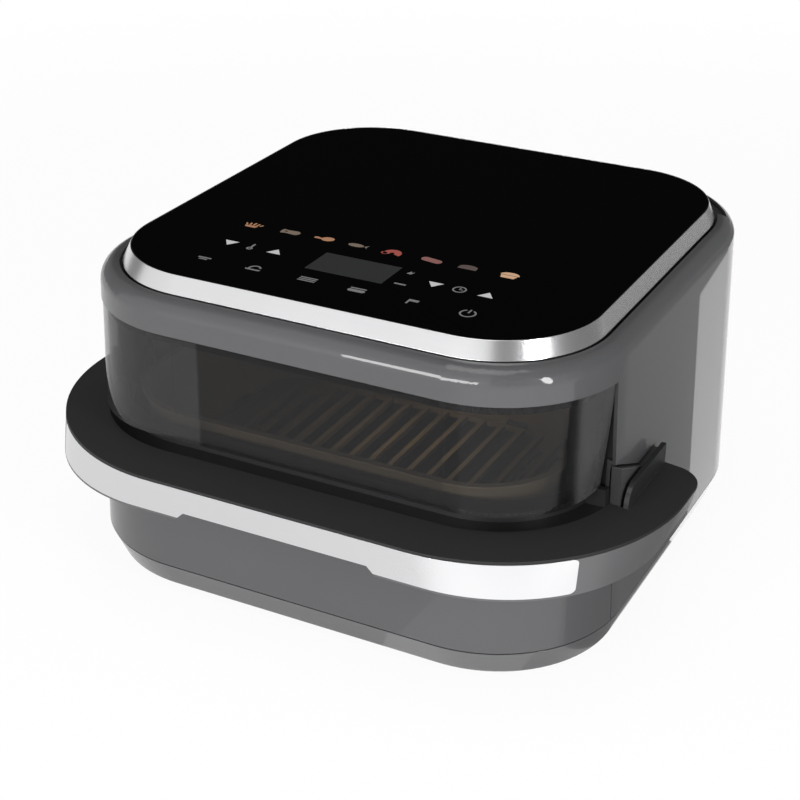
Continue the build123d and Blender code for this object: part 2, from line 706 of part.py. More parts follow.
def make_rubber_feet():
    feet = []
    for x, y in foot_places():
        foot = rod_z(x, y, 0, FOOT_HEIGHT, FOOT_RADIUS)
        foot = fillet(foot.edges().group_by(Axis.Z)[0], WALL)
        feet.append(foot + rod_z(x, y, FOOT_HEIGHT, BASE_FLOOR_Z, FOOT_STUD_RADIUS))
    return feet


def make_base_screws():
    screws = []
    for x, y in case_boss_places():
        head = rod_z(x, y, BASE_FLOOR_Z - SCREW_HEAD, BASE_FLOOR_Z, SCREW_HEAD_RADIUS)
        screws.append(head + rod_z(x, y, BASE_FLOOR_Z, GROOVE_Z + CASE_BOSS_HEIGHT - 2 * WALL, SCREW_RADIUS))
    return screws


def make_panel_ring():
    """Bevelled metal ring that holds the glass and stands on the carrier."""
    ring = RING.solid(SHOULDER_Z, GLASS_Z)
    ring += RING_LOW.inset(RING_LIP).prism(CARRIER_TOP_Z, SHOULDER_Z)
    ring -= GLASS.inset(-HANDLE_FIT).prism(GLASS_SEAT_Z, GLASS_Z + OVER)
    return ring - GLASS.inset(RING_SEAT_WIDTH).prism(CARRIER_TOP_Z - OVER, GLASS_SEAT_Z + OVER)


def make_control_glass():
    glass = GLASS.prism(GLASS_SEAT_Z, GLASS_Z)
    return chamfer(glass.edges().group_by(Axis.Z)[-1], RING_LIP / 2)


def make_panel_carrier():
    """Plastic tray under the glass: a plate, an upstand to the shell and a hollow plateau for the board."""
    plate_outline = BODY.at(CARRIER_Z).inset(WALL + CARRIER_MARGIN)
    plateau = GLASS.inset(PLATEAU_INSET)
    carrier = plate_outline.prism(CARRIER_Z, CARRIER_TOP_Z)
    rim = RING_LOW.inset(-RING_SLIT - UPSTAND_COVER)
    upstand = rim.prism(CARRIER_TOP_Z, SHOULDER_Z - WALL)
    upstand -= rim.inset(UPSTAND_WALL).prism(CARRIER_TOP_Z, SHOULDER_Z)
    carrier += upstand - behind(BACK_Y - REAR_SLOT_REACH)
    carrier += plateau.prism(CARRIER_TOP_Z, GLASS_SEAT_Z)
    carrier -= plateau.inset(CARRIER_WALL).prism(CARRIER_Z - OVER, GLASS_SEAT_Z - CARRIER_WALL)
    roof_z = GLASS_SEAT_Z - CARRIER_WALL
    for x, y in board_post_places():
        carrier += rod_z(x, y, TOUCH_BOARD_TOP_Z, roof_z, BOARD_POST_RADIUS)
    for x, y in key_places():
        carrier -= rod_z(x, y, roof_z - OVER, GLASS_SEAT_Z + OVER, KEY_PAD_RADIUS + LIGHT_FIT)
    carrier -= vent_slots(CARRIER_Z - OVER, CARRIER_TOP_Z + OVER)
    return carrier - display_block(LIGHT_FIT, GLASS_SEAT_Z + OVER)


def display_block(clearance, top):
    half_width = DISPLAY_WIDTH / 2 + clearance
    half_depth = DISPLAY_DEPTH / 2 + clearance
    x = (GRAPHICS_X - half_width, GRAPHICS_X + half_width)
    y = (KEY_ROW_SET_Y - half_depth, KEY_ROW_SET_Y + half_depth)
    return block(x, y, (TOUCH_BOARD_TOP_Z, top))


def board_limits():
    half = (MODE_KEYS - 1) / 2 * MODE_KEY_PITCH + BOARD_MARGIN
    return (-half, half), (KEY_ROW_MODE_Y - BOARD_MARGIN, KEY_ROW_FOOD_Y + BOARD_MARGIN)


def board_post_places():
    x, y = board_limits()
    inset = BOARD_POST_RADIUS + WALL
    return [(sx, sy) for sx in (x[0] + inset, x[1] - inset) for sy in (y[0] + inset, y[1] - inset)]


def make_touch_board():
    x, y = board_limits()
    return block(x, y, (TOUCH_BOARD_Z, TOUCH_BOARD_TOP_Z))


def make_key_pads():
    return [rod_z(x, y, TOUCH_BOARD_TOP_Z, GLASS_SEAT_Z, KEY_PAD_RADIUS) for x, y in key_places()]


def vent_slots(z_low, z_high):
    """The row of slots behind the ring, through the vent strip and the carrier under it."""
    count = int((RING_LOW.half - RING_LOW.r_back) * 2 / REAR_VENT_RIB_PITCH)
    slot = REAR_VENT_RIB_PITCH - REAR_VENT_RIB_WIDTH
    y = (RING_LOW.back + REAR_SLOT_WALL, RING_LOW.back + REAR_SLOT_WIDTH - 2 * REAR_SLOT_WALL)
    middles = [(i - (count - 1) / 2) * REAR_VENT_RIB_PITCH for i in range(count)]
    return [block((x - slot / 2, x + slot / 2), y, (z_low, z_high)) for x in middles]


def make_rear_top_vent():
    """Louvred strip at the bottom of the slot behind the ring, where warm air leaves."""
    top = SHOULDER_Z - REAR_VENT_DROP
    low = top - REAR_VENT_THICKNESS
    strip = rear_slot(low, top, -LIGHT_FIT)
    strip -= RING_LOW.inset(RING_LIP - LIGHT_FIT).prism(low - OVER, top + OVER)
    strip = strip & BODY.solid(low - OVER, top + OVER, WALL + LIGHT_FIT)
    return strip - vent_slots(low - OVER, top + OVER)


def make_front_soffit():
    """Plate that closes the underside of the fascia above the window."""
    plate = BODY.solid(FASCIA_Z, FASCIA_Z + WALL, WALL)
    return plate - behind(FRAME_BACK_Y)


def make_cavity_frame():
    """Front frame of the housing that the drawer's seal presses on."""
    plate = BODY.solid(GROOVE_Z, FASCIA_Z, WALL + LIGHT_FIT)
    plate += BODY.at(GROOVE_Z).inset(WALL + LIGHT_FIT).prism(PLINTH_Z, GROOVE_Z)
    plate = plate - in_front_of(FRAME_FRONT_Y) - behind(FRAME_BACK_Y)
    plate -= block((-CAVITY_HALF, CAVITY_HALF), (-FAR, FAR), (CAVITY_FLOOR, CAVITY_TOP))
    margin = POCKET_WALL + LIGHT_FIT
    for side in both_sides(arm_slab(POCKET_HALF - margin, FAR, ARM_CLEARANCE + margin, ARM_BACK_Y)):
        plate -= side
    hole = PLUNGER_RADIUS + LIGHT_FIT
    return plate - rod_y(SWITCH_X, SWITCH_Z, FRAME_FRONT_Y - OVER, FRAME_BACK_Y + OVER, hole)


def make_cavity_liner():
    """Sheet steel box round the basket, with holes for the shaft, heaters, probe and lamp."""
    half = CAVITY_HALF + SHEET
    z = (CAVITY_FLOOR - SHEET, CAVITY_TOP + SHEET)
    liner = block((-half, half), (FRAME_BACK_Y, CAVITY_BACK_Y + SHEET), z)
    inside = (FRAME_BACK_Y - OVER, CAVITY_BACK_Y)
    liner -= block((-CAVITY_HALF, CAVITY_HALF), inside, (CAVITY_FLOOR, CAVITY_TOP))
    liner -= back_wall_holes(CAVITY_BACK_Y - OVER, CAVITY_BACK_Y + SHEET + OVER)
    for x, z in motor_screw_places():
        liner -= rod_y(x, z, CAVITY_BACK_Y - OVER, CAVITY_BACK_Y + SHEET + OVER, SCREW_RADIUS + SCREW_FIT)
    lens_hole = rod_x(LAMP_CENTRE_Y, LENS_Z, CAVITY_HALF - OVER, half + OVER, LENS_RADIUS + SCREW_FIT)
    return liner - lens_hole


def back_wall_holes(y_low, y_high):
    """What passes through the back of the cavity: the shaft, four heater ends and the probe."""
    holes = [rod_y(0, FAN_HEIGHT, y_low, y_high, SHAFT_HOLE)]
    tube = HEATER_TUBE + HEATER_CLEARANCE
    for s in (-1, 1):
        sleeve = TERMINAL_SLEEVE + HEATER_CLEARANCE
        holes.append(rod_y(s * TERMINAL_X, ring_terminal_z(), y_low, y_high, sleeve))
        holes.append(rod_y(s * GRILL_HEATER_HALF, GRILL_HEATER_Z, y_low, y_high, tube))
    holes.append(rod_y(PROBE_X, PROBE_Z, y_low, y_high, PROBE_RADIUS + LIGHT_FIT))
    return holes


def ring_terminal_z():
    """Height at which the ring heater's two ends turn back through the wall."""
    return FAN_HEIGHT - (RING_HEATER_RADIUS**2 - TERMINAL_X**2) ** 0.5


def make_fan_baffle():
    """Perforated plate between the basket and the fan."""
    half = CAVITY_HALF - LIGHT_FIT
    z = (CAVITY_FLOOR + LIGHT_FIT, CAVITY_TOP - LIGHT_FIT)
    plate = block((-half, half), (BAFFLE_Y, BAFFLE_Y + SHEET), z)
    y = (BAFFLE_Y - OVER, BAFFLE_Y + SHEET + OVER)
    holes = [rod_y(0, FAN_HEIGHT, *y, BAFFLE_HOLE_RADIUS)]
    for ring in range(1, BAFFLE_RINGS + 1):
        for dx, dz in ring_places(6 * ring, ring * BAFFLE_RING_PITCH):
            holes.append(rod_y(dx, FAN_HEIGHT + dz, *y, BAFFLE_HOLE_RADIUS))
    for side in (-1, 1):
        for i in range(BAFFLE_SLOTS):
            x = side * (BAFFLE_SLOT_X + i * BAFFLE_SLOT_PITCH)
            z = (FAN_HEIGHT - BAFFLE_SLOT_HEIGHT / 2, FAN_HEIGHT + BAFFLE_SLOT_HEIGHT / 2)
            holes.append(block((x - BAFFLE_SLOT_WIDTH / 2, x + BAFFLE_SLOT_WIDTH / 2), y, z))
        holes.append(rod_y(side * GRILL_HEATER_HALF, GRILL_HEATER_Z, *y, HEATER_TUBE + HEATER_CLEARANCE))
    holes.append(rod_y(PROBE_X, PROBE_Z, *y, PROBE_RADIUS + LIGHT_FIT))
    return plate - holes


def make_ring_heater():
    """Tubular heater round the hot air fan, with its two ends through the back wall."""
    y = FAN_Y + FAN_LENGTH / 2
    ring = Pos(0, y, FAN_HEIGHT) * Rot(90, 0, 0) * Torus(RING_HEATER_RADIUS, HEATER_TUBE)
    ring -= block((-TERMINAL_X, TERMINAL_X), (-FAR, FAR), (-FAR, FAN_HEIGHT))
    for x in (-TERMINAL_X, TERMINAL_X):
        sleeve = (y - TERMINAL_SLEEVE, MOTOR_PLATE_Y + TERMINAL_OUT, TERMINAL_SLEEVE)
        ring += rod_y(x, ring_terminal_z(), *sleeve)
    return ring


def make_grill_heater():
    """Tubular heater under the roof of the cavity, bent in a W."""
    back = MOTOR_PLATE_Y + TERMINAL_OUT
    front = FRAME_BACK_Y + GRILL_HEATER_FRONT
    turn = BAFFLE_Y - GRILL_HEATER_BACK
    outer = GRILL_HEATER_HALF
    inner = GRILL_HEATER_HALF - GRILL_HEATER_PITCH
    points = [(-outer, back), (-outer, front), (-inner, front), (-inner, turn), (inner, turn), (inner, front),
              (outer, front), (outer, back)]
    path = FilletPolyline(*[(x, y, GRILL_HEATER_Z) for x, y in points], radius=GRILL_HEATER_PITCH / 2.2)
    start = Plane(origin=path @ 0, z_dir=path % 0)
    return sweep(start * Circle(HEATER_TUBE), path=path)


def make_heater_guard():
    """Wire grid under the grill heater, hung from the roof on four posts."""
    front = FRAME_BACK_Y + GUARD_FRONT
    back = BAFFLE_Y - GUARD_BACK
    guard = []
    for i in range(GUARD_WIRES):
        x = (i / (GUARD_WIRES - 1) - 0.5) * 2 * GUARD_HALF
        guard.append(rod_y(x, GUARD_Z, front, back, GUARD_WIRE))
    cross_z = GUARD_Z + GUARD_WIRE
    for y in (front + GUARD_END, back - GUARD_END):
        guard.append(rod_x(y, cross_z, -GUARD_HALF - GUARD_END, GUARD_HALF + GUARD_END, GUARD_CROSS))
        for x in (-GUARD_POST_X, GUARD_POST_X):
            guard.append(rod_z(x, y, GUARD_Z - GUARD_WIRE / 2, CAVITY_TOP, GUARD_POST))
    return Part() + guard


def make_insulation_top():
    half = CAVITY_HALF - INSULATION_MARGIN
    z = (CAVITY_TOP + SHEET, CAVITY_TOP + SHEET + INSULATION_TOP)
    pad = block((-half, half), (FRAME_BACK_Y + INSULATION_MARGIN, CAVITY_BACK_Y), z)
    return pad - rod_z(CUTOUT_X, CUTOUT_Y, z[0] - OVER, z[1] + OVER, CUTOUT_RADIUS + HEATER_CLEARANCE)


def make_insulation_back():
    half = CAVITY_HALF - INSULATION_MARGIN
    z = (CAVITY_FLOOR + INSULATION_MARGIN, CAVITY_TOP - INSULATION_MARGIN)
    pad = block((-half, half), (INSULATION_Y, MOTOR_PLATE_Y), z)
    pad -= back_wall_holes(INSULATION_Y - OVER, MOTOR_PLATE_Y + OVER)
    for x, z in motor_screw_places():
        pad -= rod_y(x, z, INSULATION_Y - OVER, MOTOR_PLATE_Y + OVER, SCREW_RADIUS + SCREW_FIT)
    return pad


def make_drawer_rail():
    """Right-hand C channel on the side of the cavity; the runner slides in its slot."""
    x = (CAVITY_HALF - RAIL_DEPTH, CAVITY_HALF)
    y = (FRAME_BACK_Y + RAIL_MARGIN, BAFFLE_Y - RAIL_MARGIN)
    half = RAIL_SLOT / 2 + RAIL_LEDGE
    rail = block(x, y, (RAIL_Z - half, RAIL_Z + half))
    slot = (RAIL_Z - RAIL_SLOT / 2, RAIL_Z + RAIL_SLOT / 2)
    return rail - block((x[0] - OVER, x[1] - SHEET), (y[0] - OVER, y[1] + OVER), slot)


def make_runner():
    """Right-hand runner on the side of the basket."""
    y = (BULKHEAD_BACK_Y + SIDE_CLEARANCE, BASKET_BACK_Y - BASKET_BACK_RADIUS)
    z = (RAIL_Z - RUNNER_THICKNESS / 2, RAIL_Z + RUNNER_THICKNESS / 2)
    return block((BASKET_HALF, CAVITY_HALF - SHEET - SOFT_GAP), y, z)


def make_motor_bracket():
    x = MOTOR_PLATE_WIDTH / 2
    z = MOTOR_PLATE_HEIGHT / 2
    plate = block((-x, x), (MOTOR_PLATE_Y, MOTOR_Y), (FAN_HEIGHT - z, FAN_HEIGHT + z))
    plate -= rod_y(0, FAN_HEIGHT, MOTOR_PLATE_Y - OVER, MOTOR_Y + OVER, SHAFT_HOLE)
    for sx, sz in motor_screw_places():
        plate -= rod_y(sx, sz, MOTOR_PLATE_Y - OVER, MOTOR_Y + OVER, SCREW_RADIUS + SCREW_FIT)
    return plate


def make_fan_motor():
    """Motor can with a bearing boss at its rear end and a bore for the shaft."""
    can = rod_y(0, FAN_HEIGHT, MOTOR_Y, MOTOR_END_Y, MOTOR_RADIUS)
    can = fillet(can.edges().group_by(Axis.Y)[-1], WALL)
    can += rod_y(0, FAN_HEIGHT, MOTOR_END_Y, MOTOR_END_Y + MOTOR_BOSS, MOTOR_BOSS_RADIUS)
    bore = SHAFT_RADIUS + SHAFT_RUNNING
    return can - rod_y(0, FAN_HEIGHT, MOTOR_Y - OVER, MOTOR_END_Y + MOTOR_BOSS + OVER, bore)


def make_motor_screws():
    screws = []
    for x, z in motor_screw_places():
        head = rod_y(x, z, MOTOR_Y, MOTOR_Y + SCREW_HEAD, SCREW_HEAD_RADIUS)
        screws.append(head + rod_y(x, z, CAVITY_BACK_Y, MOTOR_Y, SCREW_RADIUS))
    return screws


def make_fan_shaft():
    return rod_y(0, FAN_HEIGHT, FAN_Y - 1, SHAFT_END_Y, SHAFT_RADIUS)


def make_convection_fan():
    """Radial wheel: a hub and straight blades on a back disc."""
    end = FAN_Y + FAN_LENGTH
    wheel = rod_y(0, FAN_HEIGHT, FAN_Y, end, FAN_HUB_RADIUS)
    wheel += rod_y(0, FAN_HEIGHT, end - FAN_DISC, end, FAN_RADIUS)
    x = (FAN_BLADE_ROOT, FAN_RADIUS - BLADE_THICKNESS)
    blade = block(x, (FAN_Y, end - FAN_DISC / 2), (-BLADE_THICKNESS / 2, BLADE_THICKNESS / 2))
    for i in range(FAN_BLADES):
        wheel += Pos(0, 0, FAN_HEIGHT) * Rot(0, 360 * i / FAN_BLADES, 0) * blade
    return wheel - rod_y(0, FAN_HEIGHT, FAN_Y - OVER, end + OVER, SHAFT_RADIUS)


def make_cooling_fan():
    """Axial fan on the motor's rear shaft end, with pitched blades."""
    wheel = rod_y(0, FAN_HEIGHT, COOLING_Y, COOLING_Y + COOLING_LENGTH, FAN_HUB_RADIUS)
    middle = COOLING_Y + COOLING_LENGTH / 2
    x = (FAN_HUB_RADIUS - OVER, COOLING_RADIUS - OVER)
    chord = COOLING_LENGTH * 0.55
    blade = block(x, (-chord, chord), (-BLADE_THICKNESS / 2, BLADE_THICKNESS / 2))
    for i in range(COOLING_BLADES):
        turned = Rot(0, 360 * i / COOLING_BLADES, 0) * (Rot(90 - COOLING_PITCH, 0, 0) * blade)
        wheel += Pos(0, middle, FAN_HEIGHT) * turned
    return wheel - rod_y(0, FAN_HEIGHT, COOLING_Y - OVER, COOLING_Y + COOLING_LENGTH + OVER, SHAFT_RADIUS)


def make_cooling_shroud():
    """Tube round the cooling fan that leads its air to the louvres in the rear panel."""
    y = (COOLING_Y - SHROUD_LEAD, INNER_BACK_Y)
    tube = rod_y(0, FAN_HEIGHT, *y, SHROUD_RADIUS + SHROUD_WALL)
    return tube - rod_y(0, FAN_HEIGHT, y[0] - OVER, y[1] + OVER, SHROUD_RADIUS)


def make_power_board():
    """Mains board with its transformer, relays, capacitor and connector."""
    back = MAINS_BOARD_BACK_Y
    x0 = MAINS_BOARD_X - MAINS_BOARD_WIDTH / 2
    y0 = back - MAINS_BOARD_DEPTH
    z0 = MAINS_BOARD_Z + BOARD_THICKNESS
    board = block((x0, x0 + MAINS_BOARD_WIDTH), (y0, back), (MAINS_BOARD_Z, z0))
    transformer = 24.0
    relay = (12.0, 18.0, 15.0)
    board += block((x0 + 5, x0 + 5 + transformer), (y0 + 5, y0 + 5 + transformer), (z0, z0 + transformer))
    for i in range(2):
        x = x0 + MAINS_BOARD_WIDTH - 5 - relay[0] - i * (relay[0] + 3)
        board += block((x, x + relay[0]), (y0 + 6, y0 + 6 + relay[1]), (z0, z0 + relay[2]))
    board += rod_z(x0 + MAINS_BOARD_WIDTH - 12, back - 14, z0, z0 + 20, 6)
    x, y = cable_start()
    half = CONNECTOR / 2
    return board + block((x - half, x + half), (y - half, y + half), (z0, z0 + CONNECTOR))


def cable_start():
    return MAINS_BOARD_X, MAINS_BOARD_BACK_Y - CONNECTOR


def make_wiring_loom():
    """Internal cable from the mains board up the back and forward to the touch board."""
    x, y = cable_start()
    low = MAINS_BOARD_Z + BOARD_THICKNESS + CONNECTOR
    run_z = (CAVITY_TOP + SHEET + INSULATION_TOP + CARRIER_Z) / 2
    end_y = KEY_ROW_FOOD_Y + BOARD_MARGIN - CONNECTOR
    points = [(x, y, low), (x, y, run_z), (x, end_y, run_z), (x, end_y, TOUCH_BOARD_Z)]
    path = FilletPolyline(*points, radius=[CABLE_BEND, CABLE_BEND_END])
    start = Plane(origin=path @ 0, z_dir=path % 0)
    return sweep(start * Circle(CABLE_RADIUS), path=path)


def make_thermal_cutout():
    return rod_z(CUTOUT_X, CUTOUT_Y, CAVITY_TOP + SHEET, CAVITY_TOP + SHEET + CUTOUT_HEIGHT, CUTOUT_RADIUS)


def make_temperature_probe():
    probe = rod_y(PROBE_X, PROBE_Z, BAFFLE_Y - PROBE_IN, MOTOR_PLATE_Y + PROBE_OUT, PROBE_RADIUS)
    return probe + rod_y(PROBE_X, PROBE_Z, MOTOR_PLATE_Y, MOTOR_PLATE_Y + PROBE_OUT / 2, 2 * PROBE_RADIUS)


def make_lamp_lens():
    """Glass disc in the cavity wall, domed towards the basket."""
    lens = rod_x(LAMP_CENTRE_Y, LENS_Z, CAVITY_HALF - LENS_DEPTH + SHEET, CAVITY_HALF + SHEET, LENS_RADIUS)
    return fillet(lens.edges().group_by(Axis.X)[0], LENS_DEPTH / 2)


def make_lamp_housing():
    x = (CAVITY_HALF + SHEET, CAVITY_HALF + SHEET + LAMP_HOUSING_DEPTH)
    cup = rod_x(LAMP_CENTRE_Y, LENS_Z, *x, LAMP_HOUSING_RADIUS)
    return cup - rod_x(LAMP_CENTRE_Y, LENS_Z, x[0] - OVER, x[1] - WALL, LAMP_HOUSING_RADIUS - WALL)


def make_lamp_bulb():
    x = CAVITY_HALF + SHEET + LAMP_HOUSING_DEPTH - WALL
    bulb = rod_x(LAMP_CENTRE_Y, LENS_Z, x - BULB_RADIUS, x, BULB_RADIUS)
    return fillet(bulb.edges().group_by(Axis.X)[0], BULB_RADIUS * 0.6)


def make_interlock_switch():
    """Switch body behind the cavity frame, with a bore for its plunger."""
    x = (SWITCH_X - SWITCH_WIDTH / 2, SWITCH_X + SWITCH_WIDTH / 2)
    z = (SWITCH_Z - SWITCH_HEIGHT / 2, SWITCH_Z + SWITCH_HEIGHT / 2)
    body = block(x, (FRAME_BACK_Y, FRAME_BACK_Y + SWITCH_LENGTH), z)
    depth = FRAME_BACK_Y + PLUNGER_DEPTH + PLUNGER_TRAVEL + LIGHT_FIT
    return body - rod_y(SWITCH_X, SWITCH_Z, FRAME_BACK_Y - OVER, depth, PLUNGER_RADIUS + SHAFT_RUNNING)


def make_interlock_plunger():
    """Sprung pin that the closed drawer's bulkhead holds down."""
    return rod_y(SWITCH_X, SWITCH_Z, BULKHEAD_BACK_Y + SOFT_GAP, FRAME_BACK_Y + PLUNGER_DEPTH, PLUNGER_RADIUS)


def make_rear_panel():
    """Removable panel in the back with the cooling louvres and the hole for the cord gland."""
    panel = rear_opening(-LIGHT_FIT)
    for i in range(LOUVRES):
        z = FAN_HEIGHT + (i - (LOUVRES - 1) / 2) * LOUVRE_PITCH
        half = LOUVRE_WIDTH / 2
        panel -= block((-half, half), (-FAR, FAR), (z - LOUVRE_HEIGHT / 2, z + LOUVRE_HEIGHT / 2))
    panel -= rod_y(GLAND_X, REAR_PANEL_Z + GLAND_RISE, INNER_BACK_Y - OVER, BACK_Y + OVER, GLAND_RADIUS)
    for x, z in rear_screw_places():
        panel -= rod_y(x, z, INNER_BACK_Y - OVER, BACK_Y + OVER, SCREW_RADIUS + SCREW_FIT)
        panel -= rod_y(x, z, BACK_Y - SCREW_HEAD / 2, BACK_Y + OVER, SCREW_HEAD_RADIUS + SCREW_FIT)
    return panel


def make_rear_screws():
    screws = []
    for x, z in rear_screw_places():
        head = rod_y(x, z, BACK_Y - SCREW_HEAD / 2, BACK_Y, SCREW_HEAD_RADIUS)
        stem = rod_y(x, z, INNER_BACK_Y - REAR_BOSS_DEPTH, BACK_Y - SCREW_HEAD / 2, SCREW_RADIUS)
        screws.append(head + stem)
    return screws


def make_cord_gland():
    """Rubber bush that the mains lead would pass through."""
    z = REAR_PANEL_Z + GLAND_RISE
    gland = rod_y(GLAND_X, z, INNER_BACK_Y, BACK_Y, GLAND_RADIUS)
    gland += rod_y(GLAND_X, z, INNER_BACK_Y - GLAND_FLANGE_THICKNESS, INNER_BACK_Y, GLAND_FLANGE)
    return gland - rod_y(GLAND_X, z, INNER_BACK_Y - GLAND_FLANGE_THICKNESS - OVER, BACK_Y + OVER, GLAND_BORE)


def make_front_window():
    """Tinted window that wraps the front corners above the finger groove."""
    wall = WINDOW.wall(WINDOW_LOW_Z, WINDOW_TOP_Z, 0, WINDOW_THICKNESS)
    return wall - behind(DRAWER_END_Y)


def make_window_frame():
    """Bar behind the top of the window and a post at each end."""
    inside = WINDOW.solid(SHELF_TOP_Z, WINDOW_TOP_Z, WINDOW_THICKNESS)
    hole = WINDOW.at(WINDOW_TOP_Z).inset(WINDOW_THICKNESS + FRAME_DEPTH)
    bar = inside - hole.prism(SHELF_TOP_Z - OVER, WINDOW_TOP_Z + OVER) - below(WINDOW_TOP_Z - FRAME_BAR)
    bar -= behind(BULKHEAD_FRONT_Y)
    post = inside - in_front_of(BULKHEAD_FRONT_Y - FRAME_POST) - behind(BULKHEAD_FRONT_Y)
    inner_half = WINDOW.at(SHELF_TOP_Z).half - WINDOW_THICKNESS - FRAME_POST_WIDTH
    post -= block((-inner_half, inner_half), (-FAR, FAR), (-FAR, FAR))
    return bar + post


def make_inner_pane():
    behind_bar = WINDOW.at(WINDOW_TOP_Z).inset(WINDOW_THICKNESS + FRAME_DEPTH)
    half = behind_bar.half - behind_bar.r_front - PANE_MARGIN
    y = (behind_bar.front, behind_bar.front + PANE_THICKNESS)
    return block((-half, half), y, (SHELF_TOP_Z, WINDOW_TOP_Z - FRAME_BAR / 2))


def make_finger_channel():
    """Black C-section channel: the recess over the handle that the fingers reach into."""
    back = BODY.at(SHELF_Z).inset(CHANNEL_DEPTH)
    hollow = back.prism(PANEL_TOP_Z - OVER, SHELF_TOP_Z + OVER)
    shelf = BODY.solid(PANEL_TOP_Z, SHELF_Z, LIGHT_FIT) - hollow
    web = back.inset(-CHANNEL_WALL).prism(PANEL_TOP_Z, SHELF_TOP_Z) - hollow
    roof = WINDOW.solid(WINDOW_LOW_Z, SHELF_TOP_Z, WINDOW_THICKNESS) - hollow
    return (shelf + web + roof) - behind(BULKHEAD_FRONT_Y)


def make_lower_front_panel():
    """Lower half of the drawer front, with its floor, up to the finger groove."""
    panel = BODY.wall(GROOVE_Z, PANEL_TOP_Z, 0, WALL)
    panel += BODY.solid(GROOVE_Z, GROOVE_Z + PANEL_FLOOR, WALL / 2) - behind(BULKHEAD_FRONT_Y)
    panel -= behind(DRAWER_END_Y)
    for x, z in handle_screw_places():
        panel -= rod_y(x, z, -FAR, BASKET_FRONT_Y, SCREW_RADIUS + SCREW_FIT)
    return panel


def make_drawer_bulkhead():
    """Frame across the back of the drawer front that carries the basket and the seal."""
    low = BODY.solid(GROOVE_Z + PANEL_FLOOR, WINDOW_LOW_Z, WALL + BULKHEAD_FIT)
    high = WINDOW.solid(WINDOW_LOW_Z, WINDOW_TOP_Z, WINDOW_THICKNESS + BULKHEAD_FIT)
    plate = (low + high) - in_front_of(BULKHEAD_FRONT_Y) - behind(BULKHEAD_BACK_Y)
    z = (BASKET_Z - SOFT_GAP, CAVITY_TOP - OVER)
    return plate - block((-OPENING_HALF, OPENING_HALF), (-FAR, FAR), z)


def make_drawer_seal():
    """Silicone frame on the back of the bulkhead."""
    y = (BULKHEAD_BACK_Y, FRAME_FRONT_Y - SEAL_CLEARANCE)
    inner = CAVITY_HALF + SEAL_INNER_MARGIN
    low = CAVITY_FLOOR - OVER
    high = CAVITY_TOP + OVER / 2
    outer = inner + SEAL_WIDTH
    ring = block((-outer, outer), y, (low - SEAL_WIDTH, high + SEAL_WIDTH - OVER))
    return ring - block((-inner, inner), (y[0] - OVER, y[1] + OVER), (low, high))


def make_basket():
    """Deep pan with rounded corners and a rolled rim."""
    floor = BASKET_Z + BASKET_WALL
    outer = BASKET.prism(BASKET_Z, BASKET_RIM_Z)
    outer = fillet(outer.edges().group_by(Axis.Z)[0], BASKET_FLOOR_RADIUS)
    inner = BASKET.inset(BASKET_WALL).prism(floor, BASKET_RIM_Z + OVER)
    inner = fillet(inner.edges().group_by(Axis.Z)[0], BASKET_FLOOR_RADIUS - BASKET_WALL)
    rim = BASKET.inset(-BASKET_RIM).prism(BASKET_RIM_Z - BASKET_WALL, BASKET_RIM_Z)
    return (outer + rim) - inner


def make_basket_brackets():
    """Two brackets that tie the basket to the inside of the drawer front."""
    z = (BASKET_Z + BRACKET_LOW, BASKET_Z + BRACKET_LOW + BRACKET_HEIGHT)
    x = (BRACKET_X - BRACKET_WIDTH / 2, BRACKET_X + BRACKET_WIDTH / 2)
    inside = BODY.solid(z[0], z[1], WALL)
    web = block((x[0] + WALL, x[1] - WALL), (-FAR, FAR), (z[0] - OVER, z[1] + OVER))
    slab = (block(x, (-FAR, BASKET_FRONT_Y), z) & inside)
    hollow = web & (inside - in_front_of(BASKET_FRONT_Y - BASKET_FRONT_GAP + 3 * WALL))
    return both_sides(slab - hollow)


def handle_cutter():
    """What the handle band keeps clear of: the drawer front, and the arms behind the split."""
    front = BODY.solid(HANDLE_LOW_Z - OVER, LIP_Z + CHEEK_HEIGHT, -HANDLE_FIT)
    arms = block((-ARM_OUTER_HALF, ARM_OUTER_HALF), (DRAWER_END_Y, FAR), (-FAR, FAR))
    return front + arms


def handle_end():
    """Everything behind the rounded rear ends of the handle band."""
    y = SPLIT_Y + HANDLE_END_SET
    plan = Outline(HANDLE_WIDTH_TOP / 2, -FAR, y, HANDLE_END_RADIUS, HANDLE_END_RADIUS)
    return block((-FAR, FAR), (-FAR, FAR), (0, SHOULDER_Z)) - plan.prism(-OVER, SHOULDER_Z + OVER)


def notch():
    """Low finger cut-out in the middle of the handle's front edge, with slanted ends."""
    z = HANDLE_LOW_Z + NOTCH_HEIGHT
    points = [(-NOTCH_HALF_LOW, HANDLE_LOW_Z - OVER), (NOTCH_HALF_LOW, HANDLE_LOW_Z - OVER),
              (NOTCH_HALF_LOW, HANDLE_LOW_Z), (NOTCH_HALF_HIGH, z), (-NOTCH_HALF_HIGH, z),
              (-NOTCH_HALF_LOW, HANDLE_LOW_Z)]
    face = Face(Wire(Polyline(*[(x, HANDLE_FRONT_Y - OVER, h) for x, h in points], close=True)))
    return extrude(face, amount=HANDLE_WALL + 2 * OVER, dir=(0, 1, 0))


def make_handle_plate():
    """Thin brushed plate let into the front of the handle band."""
    z = (HANDLE_LOW_Z + PLATE_RISE, COVER_Z)
    plate = HANDLE.wall(z[0], z[1], 0, PLATE_THICKNESS)
    reach = block((-PLATE_HALF, PLATE_HALF), (-FAR, SPLIT_Y), z)
    reach = fillet(reach.edges().filter_by(Axis.Y), PLATE_END_RADIUS)
    return (plate & reach) - notch()


